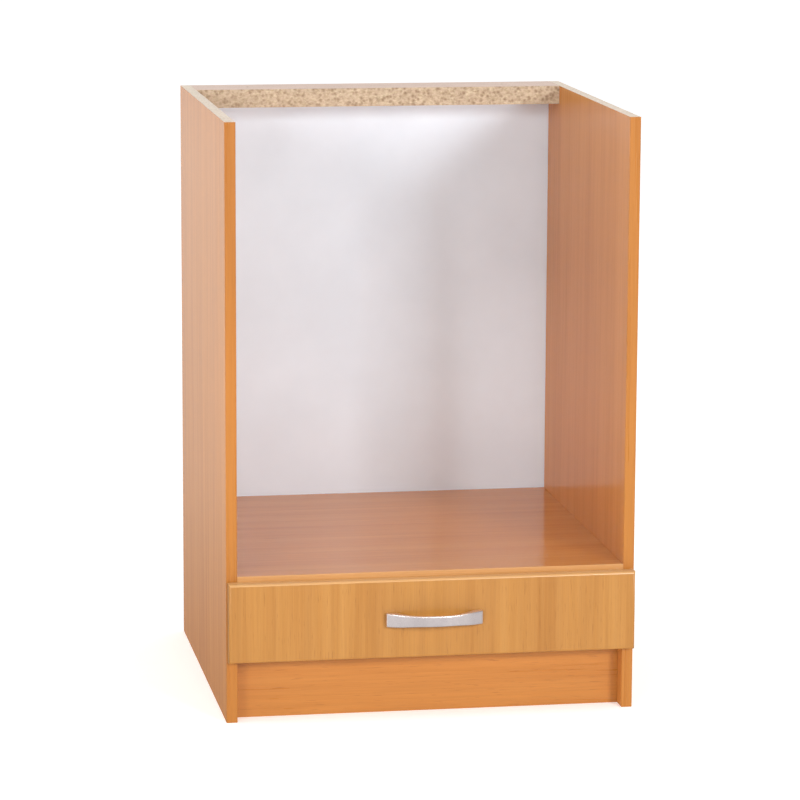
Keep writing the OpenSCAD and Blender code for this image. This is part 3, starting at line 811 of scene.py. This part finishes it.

# %% [markdown]
# ## The drawer's face
# The drawer's face is fibreboard wrapped in foil. The foil can't follow a sharp corner, so the front
# edges are well rounded, and the light runs along them. A wide bevel on the four front edges gives that
# round, with its corners closed by the same operator. The top face and the upper rounding wear a paler
# foil, a painted highlight for the light from above. The back of the board stays white.

# %% The drawer's face
face_round = 4 * mm
face_low, face_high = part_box("drawer_front")
drawer_face = rough_block("drawer_face", face_low, face_high)
edit(drawer_face)
round_edges(lambda edge: max(vert.co.y for vert in edge.verts) < face_low.y + hair, face_round, 6)
round_edges(lambda edge: min(vert.co.y for vert in edge.verts) > face_high.y - hair, arris, 2)
done()
drill(drawer_face, "handle_screws", "drawer_front_screws")
# The top faces wear the paler foil, a painted highlight.
dress(
    drawer_face, (painted_highlight_foil, anywhere),
    (alder_foil, lambda face: face.normal.y < -0.97 or face.normal.z < 0.2),
    (white_melamine, lambda face: face.normal.y > 0.9),
)
smooth(drawer_face)
fit(drawer_face, "drawer", "alder_foil", "drawer_front")

# %% [markdown]
# ## The bow handle
# The handle is one casting. Seen from above it is the space between two arcs, thick at its feet and thin
# in the middle; seen from the front it is taller at its ends. It is modelled as one half: a short block
# at the middle, whose end face is extruded outwards station by station, and scaled and moved to the
# section that the arcs ask for. Then the sharp edges are bevelled, the half is mirrored, and two levels
# of subdivision run the stations together into a smooth cast shape. Subdivision also draws the corners in
# a little, so the casting is stretched back to its full size at the end, by its object's place and scale,
# which are then put into its mesh.

# %% The bow handle
grip_low, grip_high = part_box("drawer_handle")
grip_half = (grip_high.x - grip_low.x) / 2
grip_foot_y = grip_high.y
grip_mid_z = (grip_low.z + grip_high.z) / 2
grip_end_height = grip_high.z - grip_low.z
grip_mid_height = 15.5 * mm
grip_even = 0.3
grip_reach = grip_high.y - grip_low.y
grip_end_reach = 8 * mm
grip_mid_thick = 4.5 * mm
grip_foot = 13 * mm
grip_bevel = 1.8 * mm
grip_stations = 12
hollow_half = grip_half - grip_foot
sharp_angle = math.radians(50)


def arc_drop(across, half_chord, rise):
    """How far an arc has dropped below its crown, at a distance across from its middle."""
    radius = (half_chord ** 2 + rise ** 2) / (2 * rise)
    return radius - math.sqrt(radius ** 2 - across ** 2)


def grip_section(x):
    """The handle's front, back and height at a distance from its middle."""
    hollow = grip_reach - grip_mid_thick
    front = grip_foot_y - grip_reach + arc_drop(x, grip_half, grip_reach - grip_end_reach)
    back = grip_foot_y
    if x < hollow_half:
        back = grip_foot_y - hollow + arc_drop(x, hollow_half, hollow)
    swelling = max(0, (x / grip_half - grip_even) / (1 - grip_even))
    height = grip_mid_height + (grip_end_height - grip_mid_height) * (1 - math.cos(math.pi * swelling)) / 2
    return front, back, height


stations = [hollow_half * i / grip_stations for i in range(grip_stations + 1)] + [grip_half]
front, back, height = grip_section(0)
bow_handle = rough_block(
    "bow_handle",
    (0, front, grip_mid_z - height / 2), (stations[1], back, grip_mid_z + height / 2),
)
edit(bow_handle)
choose("FACE", lambda face: face.normal.x > 0.9)
for number, x in enumerate(stations[1:], 1):
    old_front, old_back, old_height = front, back, height
    front, back, height = grip_section(x)
    if number > 1:
        bpy.ops.mesh.extrude_region_move(
            TRANSFORM_OT_translate={"value": (x - stations[number - 1], 0, 0)}
        )
    bpy.ops.transform.resize(
        value=(1, (back - front) / (old_back - old_front), height / old_height),
        center_override=(x, (old_front + old_back) / 2, grip_mid_z),
    )
    bpy.ops.transform.translate(value=(0, (front + back - old_front - old_back) / 2, 0))
choose("FACE", lambda face: face.normal.x < -0.9 and face.calc_center_median().x < hair)
bpy.ops.mesh.delete(type="ONLY_FACE")
round_edges(lambda edge: not edge.is_boundary and edge.calc_face_angle(0) > sharp_angle, grip_bevel, 3)
done()
apply_modifier(bow_handle, "MIRROR", use_axis=(True, False, False), use_clip=True, merge_threshold=0.05 * mm)
apply_modifier(bow_handle, "SUBSURF", levels=2, render_levels=2)
for axis in range(3):
    reach = [vert.co[axis] for vert in bow_handle.data.vertices]
    stretched = (grip_high[axis] - grip_low[axis]) / (max(reach) - min(reach))
    bow_handle.scale[axis] = stretched
    bow_handle.location[axis] = grip_low[axis] - min(reach) * stretched
freeze(bow_handle)
dress(bow_handle, (satin_nickel, anywhere))
smooth(bow_handle, 60)
fit(bow_handle, "drawer", "satin_nickel", "drawer_handle")

# %% [markdown]
# ## The drawer box
# Behind the face is a low box of white board: an inner front, two sides and a back, with a hardboard
# bottom nailed on from below. The bottom is white where things lie on it and brown underneath.

# %% The drawer box
for name, node, thin, fasteners in (
    ("box_front", "drawer_inner_front", 1,
     ("drawer_box_screws", "drawer_bottom_nails", "handle_screws", "drawer_front_screws")),
    ("box_back", "drawer_back", 1, ("drawer_box_screws", "drawer_bottom_nails")),
    ("box_side_left", "drawer_side_left", 0, ("drawer_box_screws", "drawer_rail_screws")),
    ("box_side_right", "drawer_side_right", 0, ("drawer_box_screws", "drawer_rail_screws")),
):
    box_board = saw_board(name, node, thin, white_melamine, chip_edge, fasteners)
    top_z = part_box(node)[1].z
    dress(
        box_board, (chip_edge, anywhere), (white_melamine, on_skin(node, thin)),
        (white_melamine, lambda face: face.normal.z > 0.5 and face.center.z > top_z - arris),
    )
    fit(box_board, "drawer", "white_board", node)

box_bottom = hardboard_sheet(
    "box_bottom", "drawer_bottom", ("drawer_bottom_nails", "drawer_rail_screws"),
    white_melamine, lambda face: face.normal.z > 0.9,
)
fit(box_bottom, "drawer", "white_hardboard", "drawer_bottom")

# %% [markdown]
# ## Folding a runner
# A runner is one strip of steel, folded lengthwise. The right-hand ones start as a flat plate at the
# middle of the web. Its long edges are extruded into the foot and the flange, the corners at one end are
# rounded, and the folds get a bend radius. Solidify then gives the sheet its thickness. Slots and screw
# holes are cut last. The left-hand ones are mirror images, with their normals turned out again.

# %% Folding a runner
steel = 1.2 * mm
bend = 1.0 * mm
nearly_half = 0.49  # so that two rounded corners don't quite meet


def fold_runner(name, node, web_x, web_rear, foot, flange, lip, flanges_from, flanges_to, round_front):
    """A right-hand runner. foot and flange are how far the lower and upper folds reach along X."""
    low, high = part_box(node)
    half = steel / 2
    z_low, z_high = low.z + half, high.z - half
    put_down()
    bpy.ops.mesh.primitive_plane_add(
        size=1, location=(web_x, (low.y + web_rear) / 2, (z_low + z_high) / 2),
        rotation=(0, quarter_turn, 0),
    )
    runner = named(name)
    runner.scale = (z_high - z_low, web_rear - low.y, 1)
    freeze(runner)
    edit(runner)
    for y in (flanges_from, flanges_to):
        if low.y + hair < y < web_rear - hair:
            bpy.ops.mesh.select_all(action="SELECT")
            bpy.ops.mesh.bisect(plane_co=(0, y, 0), plane_no=(0, 1, 0))

    def long_edge_at(z):
        def rule(edge):
            start, end = (vert.co for vert in edge.verts)
            inside = flanges_from - hair < min(start.y, end.y) and max(start.y, end.y) < flanges_to + hair
            return inside and abs(start.z - z) < hair and abs(end.z - z) < hair
        return rule

    choose("EDGE", long_edge_at(z_low))
    bpy.ops.mesh.extrude_region_move(TRANSFORM_OT_translate={"value": (foot, 0, 0)})
    if lip:
        bpy.ops.mesh.extrude_region_move(TRANSFORM_OT_translate={"value": (0, 0, lip)})
    choose("EDGE", long_edge_at(z_high))
    bpy.ops.mesh.extrude_region_move(TRANSFORM_OT_translate={"value": (flange, 0, 0)})
    round_edges(lambda edge: not edge.is_boundary and edge.calc_face_angle(0) > sharp_angle, bend, 3)
    end_y = low.y if round_front else web_rear
    choose("VERT", lambda vert: abs(vert.co.y - end_y) < hair)
    bpy.ops.mesh.bevel(offset=(z_high - z_low) * nearly_half, segments=8, affect="VERTICES")
    bpy.ops.mesh.select_all(action="SELECT")
    bpy.ops.mesh.remove_doubles(threshold=0.01 * mm)
    bpy.ops.mesh.normals_make_consistent(inside=False)
    done()
    apply_modifier(runner, "SOLIDIFY", thickness=steel, offset=0)
    return runner


def finish_runner(runner, name, body, side_nodes):
    """Paints a right-hand runner, makes its left-hand twin and hangs both."""
    dress(runner, (powder_coat, anywhere))
    smooth(runner)
    other = mirrored(runner, name)
    smooth(other)
    for piece, node in ((runner, side_nodes[0]), (other, side_nodes[1])):
        fit(piece, body, "white_steel", node)


print("Runner steel:", steel / mm, "mm")

# %% [markdown]
# ## The cabinet's runners
# The fixed runners are channels that are open to the inside. The drawer's rollers roll on the foot, and
# the roof over them keeps a pulled-out drawer from tipping. Foot, lip and roof stop short of the front
# end, where the runner's own roller sits. Beside each screw hole is a spare slot.

# %% The cabinet's runners
slot_length = 12 * mm
slot_width = 4.5 * mm
slot_beside = 32 * mm
flange_clear = 3 * mm
channel_lip = 1.5 * mm
roof_width = 7 * mm


def cut_slot(runner, x, y, z):
    """A slot with round ends through the web."""
    reach = Vector((3 * steel, slot_length / 2, slot_width / 2))
    slot = rough_block("cutter", Vector((x, y, z)) - reach, Vector((x, y, z)) + reach)
    edit(slot)
    round_edges(
        lambda edge: abs(edge.verts[0].co.x - edge.verts[1].co.x) > reach.x, slot_width * nearly_half, 6,
    )
    done()
    cut(runner, slot)


channel_low, channel_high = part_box("cabinet_rail_right")
fixed_low, fixed_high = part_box("cabinet_roller_right")
fixed_axle = (fixed_low + fixed_high) / 2
roller_r = (fixed_high.z - fixed_low.z) / 2
cabinet_runner = fold_runner(
    "cabinet_runner_right", "cabinet_rail_right", web_x=channel_high.x - steel / 2, web_rear=channel_high.y,
    foot=-(channel_high.x - channel_low.x - steel), flange=-(roof_width - steel / 2),
    lip=channel_lip + steel / 2, flanges_from=fixed_axle.y + roller_r + flange_clear,
    flanges_to=channel_high.y, round_front=True,
)
drill(cabinet_runner, "cabinet_rail_screws", "cabinet_roller_axles")
screw_ys = sorted((low.y + high.y) / 2 for low, high in loose_parts("cabinet_rail_screws") if low.x > 0)
for y in screw_ys:
    aside = -slot_beside if y > screw_ys[1] + hair else slot_beside
    cut_slot(cabinet_runner, channel_high.x - steel / 2, y + aside, fixed_axle.z)
print("Spare slots in a runner:", len(screw_ys))

# %% [markdown]
# ## The drawer's stop
# A low bump across the foot of the channel stops the drawer's roller at the end of its travel. Its place
# follows from the rolling axle, the travel and the two radii. It is a round bar whose lower half is cut
# away, joined to the channel by a boolean union. After that the runner is complete, and it is painted
# and mirrored.

# %% The drawer's stop
stop_r = 2.5 * mm
running_play = 0.3 * mm
joints = {joint["name"]: joint for joint in frame["record"]["behaviour"]["joints"]}
travel = joints["drawer_slide"]["range_m"][1]
rolling_low, rolling_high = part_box("drawer_roller_right")
roller_reach = roller_r + running_play
stop_ahead = math.sqrt((roller_reach + stop_r) ** 2 - roller_reach ** 2)
stop_y = (rolling_low.y + rolling_high.y) / 2 - travel - stop_ahead
channel_z = channel_low.z + steel
stop_bump = rod(
    "stop_bump", stop_r, channel_high.x - channel_low.x - steel,
    ((channel_low.x + channel_high.x) / 2, stop_y, channel_z), turn=(0, quarter_turn, 0),
)
edit(stop_bump)
bpy.ops.mesh.select_all(action="SELECT")
bpy.ops.mesh.bisect(
    plane_co=(0, 0, channel_z - steel / 2), plane_no=(0, 0, 1), clear_inner=True, use_fill=True
)
done()
apply_modifier(cabinet_runner, "BOOLEAN", operation="UNION", solver="EXACT", object=stop_bump)
bpy.data.objects.remove(stop_bump)
finish_runner(
    cabinet_runner, "cabinet_runner_left", "carcass", ("cabinet_rail_right", "cabinet_rail_left")
)

# %% [markdown]
# ## The drawer's runners
# The drawer's own runners have a foot under the box side, which is screwed on from below, a web beside it,
# and a narrow flange on top that runs over the fixed roller. The rear end is rounded and carries the
# rolling axle, so foot and flange end before it.

# %% The drawer's runners
axle_inset = 12 * mm
angle_low, angle_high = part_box("drawer_rail_right")
box_side_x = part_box("drawer_side_right")[1].x
drawer_runner = fold_runner(
    "drawer_runner_right", "drawer_rail_right", web_x=box_side_x + steel / 2, web_rear=angle_high.y,
    foot=angle_low.x - box_side_x - steel / 2, flange=angle_high.x - box_side_x - steel / 2, lip=0,
    flanges_from=angle_low.y, flanges_to=angle_high.y - axle_inset, round_front=False,
)
drill(drawer_runner, "drawer_rail_screws", "drawer_roller_axles")
finish_runner(drawer_runner, "drawer_runner_left", "drawer", ("drawer_rail_right", "drawer_rail_left"))

# %% [markdown]
# ## A small lathe
# Rollers, axles, bolts, nails and screws are all turned parts. On a lathe one draws half an outline and
# turns it round, and Blender's spin does the same. The outline grows out of a single point that is
# extruded from corner to corner, spun a full turn about Z, and merged where the start meets the end.

# %% A small lathe
def turned(name, outline, steps=32):
    """A part turned about Z. Its outline is a list of (radius, height) corners."""
    put_down()
    bpy.ops.mesh.primitive_plane_add(size=mm)
    part = freeze(named(name))
    edit(part)
    bpy.ops.mesh.select_mode(type="VERT")
    bpy.ops.mesh.select_all(action="SELECT")
    bpy.ops.mesh.merge(type="CENTER")
    bpy.ops.transform.translate(value=(outline[0][0], 0, outline[0][1]))
    for here, there in zip(outline, outline[1:]):
        step = (there[0] - here[0], 0, there[1] - here[1])
        bpy.ops.mesh.extrude_region_move(TRANSFORM_OT_translate={"value": step})
    bpy.ops.mesh.select_all(action="SELECT")
    bpy.ops.mesh.spin(steps=steps, angle=math.tau, center=(0, 0, 0), axis=(0, 0, 1))
    bpy.ops.mesh.select_all(action="SELECT")
    bpy.ops.mesh.remove_doubles(threshold=hair)
    bpy.ops.mesh.normals_make_consistent(inside=False)
    done()
    return part


blade_taper = (0.45, 0.6, 1)


def tapered_blade(width, thick, depth, turn):
    """One blade of a screwdriver's cross, narrower at its tip."""
    blade = rough_block("blade", (-width / 2, -thick / 2, -depth), (width / 2, thick / 2, depth))
    edit(blade)
    choose("FACE", lambda face: face.normal.z < -0.9)
    bpy.ops.transform.resize(value=blade_taper, center_override=(0, 0, -depth))
    done()
    blade.rotation_euler.z = turn
    return freeze(blade)


def cut_cross(part, width, thick, depth):
    """The cross in a screw's head."""
    for turn in (0, quarter_turn):
        cut(part, tapered_blade(width, thick, depth, turn))


def lay_out(name, maker, node, heading, finish):
    """One fastener at each solid of a CAD node. heading gives the way that its point looks."""
    models = {}
    copies = []
    for low, high in loose_parts(node):
        middle, size = (low + high) / 2, high - low
        way = Vector(heading(middle))
        length = abs(size.dot(way))
        key = round(length / mm, 2)
        if key not in models:
            models[key] = maker(length)
        turn = Vector((0, 0, -1)).rotation_difference(way).to_matrix().to_4x4()
        copy = twin(models[key], "copy")
        copy.matrix_world = Matrix.Translation(middle - way * length / 2) @ turn
        copies.append(copy)
    for model in models.values():
        bpy.data.objects.remove(model)
    group = joined(name, copies)
    dress(group, (finish, anywhere))
    smooth(group)
    return group


def outwards(middle):
    return (math.copysign(1, middle.x), 0, 0)


def inwards(middle):
    return (-math.copysign(1, middle.x), 0, 0)


def upwards(middle):
    return (0, 0, 1)


def forwards(middle):
    return (0, -1, 0)


print("Lathe ready")

# %% [markdown]
# ## Screws and nails
# Each kind is modelled once, with its head at the top and its point down, and copied to every place that
# the construction model gives. The screws get the cross that a screwdriver turns. Countersunk heads
# lie flush in the wood, and pan heads stand on it.

# %% Screws and nails
def fasten(name, maker, node, heading, body, finish=zinc, slot="zinc_steel"):
    """Lays out one kind of fastener and hangs it on a body."""
    fit(lay_out(name, maker, node, heading, finish), body, slot, node)


def sunk_screw(length):
    shank, head = 1.75 * mm, 3.5 * mm
    screw = turned("screw", [
        (0, 0), (head - 0.2 * mm, 0), (head, -0.15 * mm), (shank, -1.8 * mm),
        (shank, 3.5 * mm - length), (0.3 * mm, 0.2 * mm - length), (0, -length),
    ], 24)
    cut_cross(screw, 4.2 * mm, 0.9 * mm, 1.5 * mm)
    return screw


def pan_screw(shank):
    def maker(length):
        head = 3.5 * mm
        screw = turned("screw", [
            (0, 0), (0.45 * head, -0.15 * mm), (0.75 * head, -0.45 * mm), (0.94 * head, -0.85 * mm),
            (head, -1.6 * mm), (shank, -1.6 * mm), (shank, 3 * mm - length), (0.3 * mm, 0.2 * mm - length),
            (0, -length),
        ], 24)
        cut_cross(screw, 4 * mm, 0.9 * mm, 1.6 * mm)
        return screw
    return maker


def nail(length):
    return turned("nail", [
        (0, 0), (1.7 * mm, -0.05 * mm), (2 * mm, -0.25 * mm), (2 * mm, -0.7 * mm), (0.8 * mm, -0.8 * mm),
        (0.8 * mm, 2 * mm - length), (0, -length),
    ], 16)


wood_shank, machine_shank = 1.75 * mm, 2 * mm
for name, maker, node, heading, body in (
    ("runner_screws", sunk_screw, "cabinet_rail_screws", outwards, "carcass"),
    ("back_nails", nail, "back_panel_nails", forwards, "carcass"),
    ("box_screws", sunk_screw, "drawer_box_screws", inwards, "drawer"),
    ("drawer_runner_screws", pan_screw(wood_shank), "drawer_rail_screws", upwards, "drawer"),
    ("face_screws", pan_screw(wood_shank), "drawer_front_screws", forwards, "drawer"),
    ("handle_bolts", pan_screw(machine_shank), "handle_screws", forwards, "drawer"),
    ("bottom_nails", nail, "drawer_bottom_nails", upwards, "drawer"),
):
    fasten(name, maker, node, heading, body)

# %% [markdown]
# ## Dowels, cam bolts and cam locks
# The boards are held by dowels, which have flutes so that the glue can spread, and by cam fittings: a
# bolt in the upright, whose round head is pulled in by a lock in the level board. Only the slotted
# faces of the locks can be seen, from below, but the whole fitting is there.

# %% Dowels, cam bolts and cam locks
def fluted_dowel(length):
    sides = 24

    def every_second_side(face):
        angle = math.atan2(face.normal.y, face.normal.x)
        return abs(face.normal.z) < 0.1 and round(angle / (math.tau / sides) - 0.5) % 2 == 0

    dowel = rod("dowel", 4 * mm, length, (0, 0, -length / 2), sides=sides)
    edit(dowel)
    round_edges(lambda edge: abs(edge.verts[0].co.z - edge.verts[1].co.z) < hair, 0.8 * mm)
    choose("FACE", every_second_side)
    bpy.ops.mesh.inset(thickness=0.1 * mm, depth=-0.25 * mm, use_individual=True)
    done()
    return dowel


def cam_bolt(length):
    neck_end, body_end = -9 * mm, 11 * mm - length
    outline = [
        (0, 0), (1.5 * mm, -0.4 * mm), (2.6 * mm, -1.5 * mm), (3 * mm, -3 * mm), (2.6 * mm, -4.5 * mm),
        (1.75 * mm, -5.4 * mm), (1.75 * mm, neck_end), (2.9 * mm, neck_end), (3 * mm, neck_end - 0.2 * mm),
        (3 * mm, body_end), (2.1 * mm, body_end),
    ]
    ridge, ridges = 1.2 * mm, 8
    for number in range(ridges):
        top = body_end - (number + 0.5) * ridge
        outline += [(2.5 * mm, top), (2.1 * mm, top - ridge / 2)]
    return turned("bolt", outline + [(0, -length)], 24)


def cam_lock(length):
    radius, ease = 7.5 * mm, 0.4 * mm
    lock = turned("lock", [
        (0, 0), (radius - ease, 0), (radius, -ease),
        (radius, ease - length), (radius - ease, -length), (0, -length),
    ], 48)
    cut_cross(lock, 8 * mm, 1.4 * mm, 3 * mm)
    return lock


plinth_high_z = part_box("plinth_board")[1].z


def into_the_board(middle):
    """A lock goes up into a level board, and forwards into the plinth."""
    return (0, -1, 0) if middle.z < plinth_high_z else (0, 0, 1)


fasten("fluted_dowels", fluted_dowel, "beech_dowels", outwards, "carcass", beech, "beech")
fasten("cam_bolt_set", cam_bolt, "cam_bolts", outwards, "carcass")
cam_lock_set = lay_out("cam_lock_set", cam_lock, "cam_locks", into_the_board, zinc)
drill(cam_lock_set, "cam_bolts")
fit(cam_lock_set, "carcass", "zinc_steel", "cam_locks")

# %% [markdown]
# ## Rollers and axles
# Each roller is a nylon wheel with a hub, a thin web and a rim, on an axle whose end is riveted over in
# a low dome. The wheel turns on its axle, so it is a piece of its own on a body of its own.

# %% Rollers and axles
roller_w = fixed_high.x - fixed_low.x
bore_r = 2.55 * mm
hub_r = bore_r + 1.8 * mm
rim_r = roller_r - 1.8 * mm
dish, ease = 0.8 * mm, 0.5 * mm
half_roller = [
    (bore_r, 0), (hub_r, 0), (hub_r, dish), (rim_r, dish), (rim_r, 0),
    (roller_r - ease, 0), (roller_r - 0.15 * mm, 0.15 * mm), (roller_r, ease),
]
other_half = [(r, roller_w - z) for r, z in reversed(half_roller)]
for body in ("cabinet_roller_left", "cabinet_roller_right", "drawer_roller_left", "drawer_roller_right"):
    low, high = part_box(body)
    wheel = turned(body.replace("roller", "wheel"), half_roller + other_half + half_roller[:1], 48)
    wheel.matrix_world = (
        Matrix.Translation((low.x, (low.y + high.y) / 2, (low.z + high.z) / 2))
        @ Matrix.Rotation(quarter_turn, 4, "Y")
    )
    freeze(wheel)
    dress(wheel, (nylon, anywhere))
    smooth(wheel)
    fit(wheel, body, "nylon", body)


def riveted_axle(length):
    shank, collar = 2.5 * mm, 4 * mm
    seat, web = 2.95 * mm - length, steel - length
    return turned("axle", [
        (0, 0), (0.5 * collar, -0.12 * mm), (0.85 * collar, -0.45 * mm), (collar, -1 * mm), (shank, -1 * mm),
        (shank, seat), (collar, seat), (collar, web), (shank, web), (shank, -length), (0, -length),
    ])


fasten("cabinet_axles", riveted_axle, "cabinet_roller_axles", outwards, "carcass")
fasten("drawer_axles", riveted_axle, "drawer_roller_axles", inwards, "drawer")

# %% [markdown]
# ## The floor
# The floor is plain and pale, and glows a little by itself, like the lit table that shop pictures are
# taken on. So it comes out white without much light from overhead. It is left out of reflections, because
# the polished sides would mirror it as a glare that the picture doesn't have.

# %% The floor
floor_size = 30
floor_below = 0.1 * mm
bpy.ops.mesh.primitive_plane_add(size=floor_size, location=(0, 0, -floor_below))
floor = freeze(named("floor"))
floor.visible_glossy = False
pale_floor = new_finish("floor_pale", roughness=0.9, specular=0.1)
pale_shader = pale_floor.node_tree.nodes["Principled BSDF"]
pale_shader.inputs["Emission Color"].default_value = (1, 1, 1, 1)
pale_shader.inputs["Emission Strength"].default_value = 0.36
mottle = noise(pale_floor, place_on(pale_floor, (3, 3, 3)), detail=2)
shade(pale_floor, "Base Color", ramp(
    pale_floor, mottle, [(0.3, tone(246, 245, 244)), (0.7, tone(250, 249, 248))],
))
dress(floor, (pale_floor, anywhere))
print("The floor lies", floor_below / mm, "mm under the cabinet")

# %% [markdown]
# ## The sky
# What the polished sides mirror is the sky, a gradient by height. In front it is bright below the
# horizon, as a floor would be. Behind the cabinet it is brightest just under the horizon and dim far below
# it. The camera sees the sky as plain white, but its light on the cabinet is softer, and the two are kept
# apart with the light path of each ray.

# %% The sky
world = bpy.data.worlds.new("studio")
world.use_nodes = True
bpy.context.scene.world = world
sky = world.node_tree
soft_sky = sky.nodes["Background"]
soft_sky.inputs["Color"].default_value = (0.97, 0.98, 1.0, 1)
way_out = sky.nodes.new("ShaderNodeSeparateXYZ")
sky.links.new(sky.nodes.new("ShaderNodeTexCoord").outputs["Generated"], way_out.inputs["Vector"])
lowest, highest = -0.3, 1.0


def share(axis, start, end):
    """Where a ray lies between two values of one of its parts, from 0 to 1."""
    spread = sky.nodes.new("ShaderNodeMapRange")
    spread.inputs["From Min"].default_value = start
    spread.inputs["From Max"].default_value = end
    sky.links.new(way_out.outputs[axis], spread.inputs["Value"])
    return spread.outputs["Result"]


def sky_gradient(steps):
    """How bright the sky is at each height of a ray, from straight down at -1 to straight up at 1."""
    gradient = sky.nodes.new("ShaderNodeValToRGB")
    sky.links.new(share("Z", lowest, highest), gradient.inputs["Fac"])
    elements = gradient.color_ramp.elements
    while len(elements) < len(steps):
        elements.new(0.5)
    for element, (ray_height, strength) in zip(elements, steps):
        element.position = (ray_height - lowest) / (highest - lowest)
        element.color = (strength, strength, strength, 1)
    return gradient.outputs["Color"]


behind = sky_gradient([
    (-0.3, 0.07), (-0.24, 0.26), (-0.2, 0.53), (-0.11, 0.77),
    (0.0, 0.5), (0.3, 0.8), (0.65, 0.1), (1.0, 1.85),
])
in_front = sky_gradient([(-0.3, 0.74), (-0.1, 0.78), (0.0, 0.41), (0.3, 0.2), (0.65, 0.1), (1.0, 1.85)])
all_round = sky.nodes.new("ShaderNodeMixRGB")
sky.links.new(share("Y", -0.2, 0.2), all_round.inputs["Fac"])
sky.links.new(in_front, all_round.inputs["Color1"])
sky.links.new(behind, all_round.inputs["Color2"])
sky.links.new(all_round.outputs["Color"], soft_sky.inputs["Strength"])
white_sky = sky.nodes.new("ShaderNodeBackground")
white_sky.inputs["Color"].default_value = (1, 1, 1, 1)
ray_kind = sky.nodes.new("ShaderNodeLightPath")
either = sky.nodes.new("ShaderNodeMixShader")
sky.links.new(ray_kind.outputs["Is Camera Ray"], either.inputs["Fac"])
sky.links.new(soft_sky.outputs["Background"], either.inputs[1])
sky.links.new(white_sky.outputs["Background"], either.inputs[2])
sky.links.new(either.outputs["Shader"], sky.nodes["World Output"].inputs["Surface"])
print("Sky nodes:", len(sky.nodes))

# %% [markdown]
# ## The lights
# Three soft lights stand far off in front, so that the back gets nearly as much light as the front. One is
# straight ahead and high, a strong one stands to the right and a weaker one to the left. The upright on its
# own side hides each of those two from a part of the back, and where the two shadows meet, a soft darker
# band runs down. The light that comes in over the tops of the uprights makes the bright V above it.
#
# A broad weak light at the left fills the outer side. Two small ones, a little higher than the cabinet,
# lift the low part of the back, and a thin flat beam from below lights the strip just under the rail.

# %% The lights
shelf_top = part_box("oven_shelf")[1].z
niche_middle = Vector((0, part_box("back_panel")[0].y, (shelf_top + rail_high.z) / 2))


def aim(light, target):
    """Turns a light so that it looks at a target."""
    way = Vector(target) - light.location
    light.rotation_euler = way.to_track_quat("-Z", "Y").to_euler()


def soft_light(name, bearing, height, size, watts, colour=(1, 1, 1), distance=9):
    """A square light in front, at an angle off straight ahead of the back. Left is negative."""
    angle = math.radians(bearing)
    spot = niche_middle + Vector((math.sin(angle), -math.cos(angle), 0)) * distance
    spot.z = height
    bpy.ops.object.light_add(type="AREA", location=spot)
    light = named(name)
    light.data.size = size
    light.data.energy = watts
    light.data.color = colour
    aim(light, niche_middle)


def low_light(name, spot, target, cone, watts, stretch):
    """A small round light with a soft rim, aimed at a place (x, z) on the back."""
    bpy.ops.object.light_add(type="SPOT", location=spot)
    light = named(name)
    light.data.spot_size = math.radians(cone)
    light.data.spot_blend = 1.0
    light.data.shadow_soft_size = 0.1
    light.data.energy = watts
    aim(light, (target[0], niche_middle.y, target[1]))
    light.scale = stretch


soft_light("front_light", bearing=0, height=4.0, size=1.5, watts=121)
soft_light("right_light", bearing=23.3, height=3.0, size=1.8, watts=394)
soft_light("left_light", bearing=-32, height=2.4, size=1.7, watts=183)
soft_light("side_fill", bearing=-75, height=1.0, size=3.0, watts=48, colour=(0.96, 0.99, 1.0), distance=4)
low_light("low_left_light", (-1.9, -2.3, 1.0), (0.25, 0.3), cone=11, watts=58, stretch=(1.0, 0.95, 1.0))
low_light("low_front_light", (-0.6, -2.9, 1.0), (0.12, 0.3), cone=13, watts=28, stretch=(1.3, 0.75, 1.0))

glow_x = -0.02
glow_under_top = 33 * mm
bpy.ops.object.light_add(type="AREA", location=(glow_x, -1.5, 0.35))
rail_glow = named("rail_glow")
rail_glow.data.shape = "RECTANGLE"
rail_glow.data.size = 0.5
rail_glow.data.size_y = 0.01
rail_glow.data.spread = math.radians(1.9)
rail_glow.data.energy = 0.014
rail_glow.data.color = (0.93, 0.96, 1.0)
aim(rail_glow, (glow_x, niche_middle.y, rail_high.z - glow_under_top))
print("Lights:", [light.name for light in bpy.data.lights])
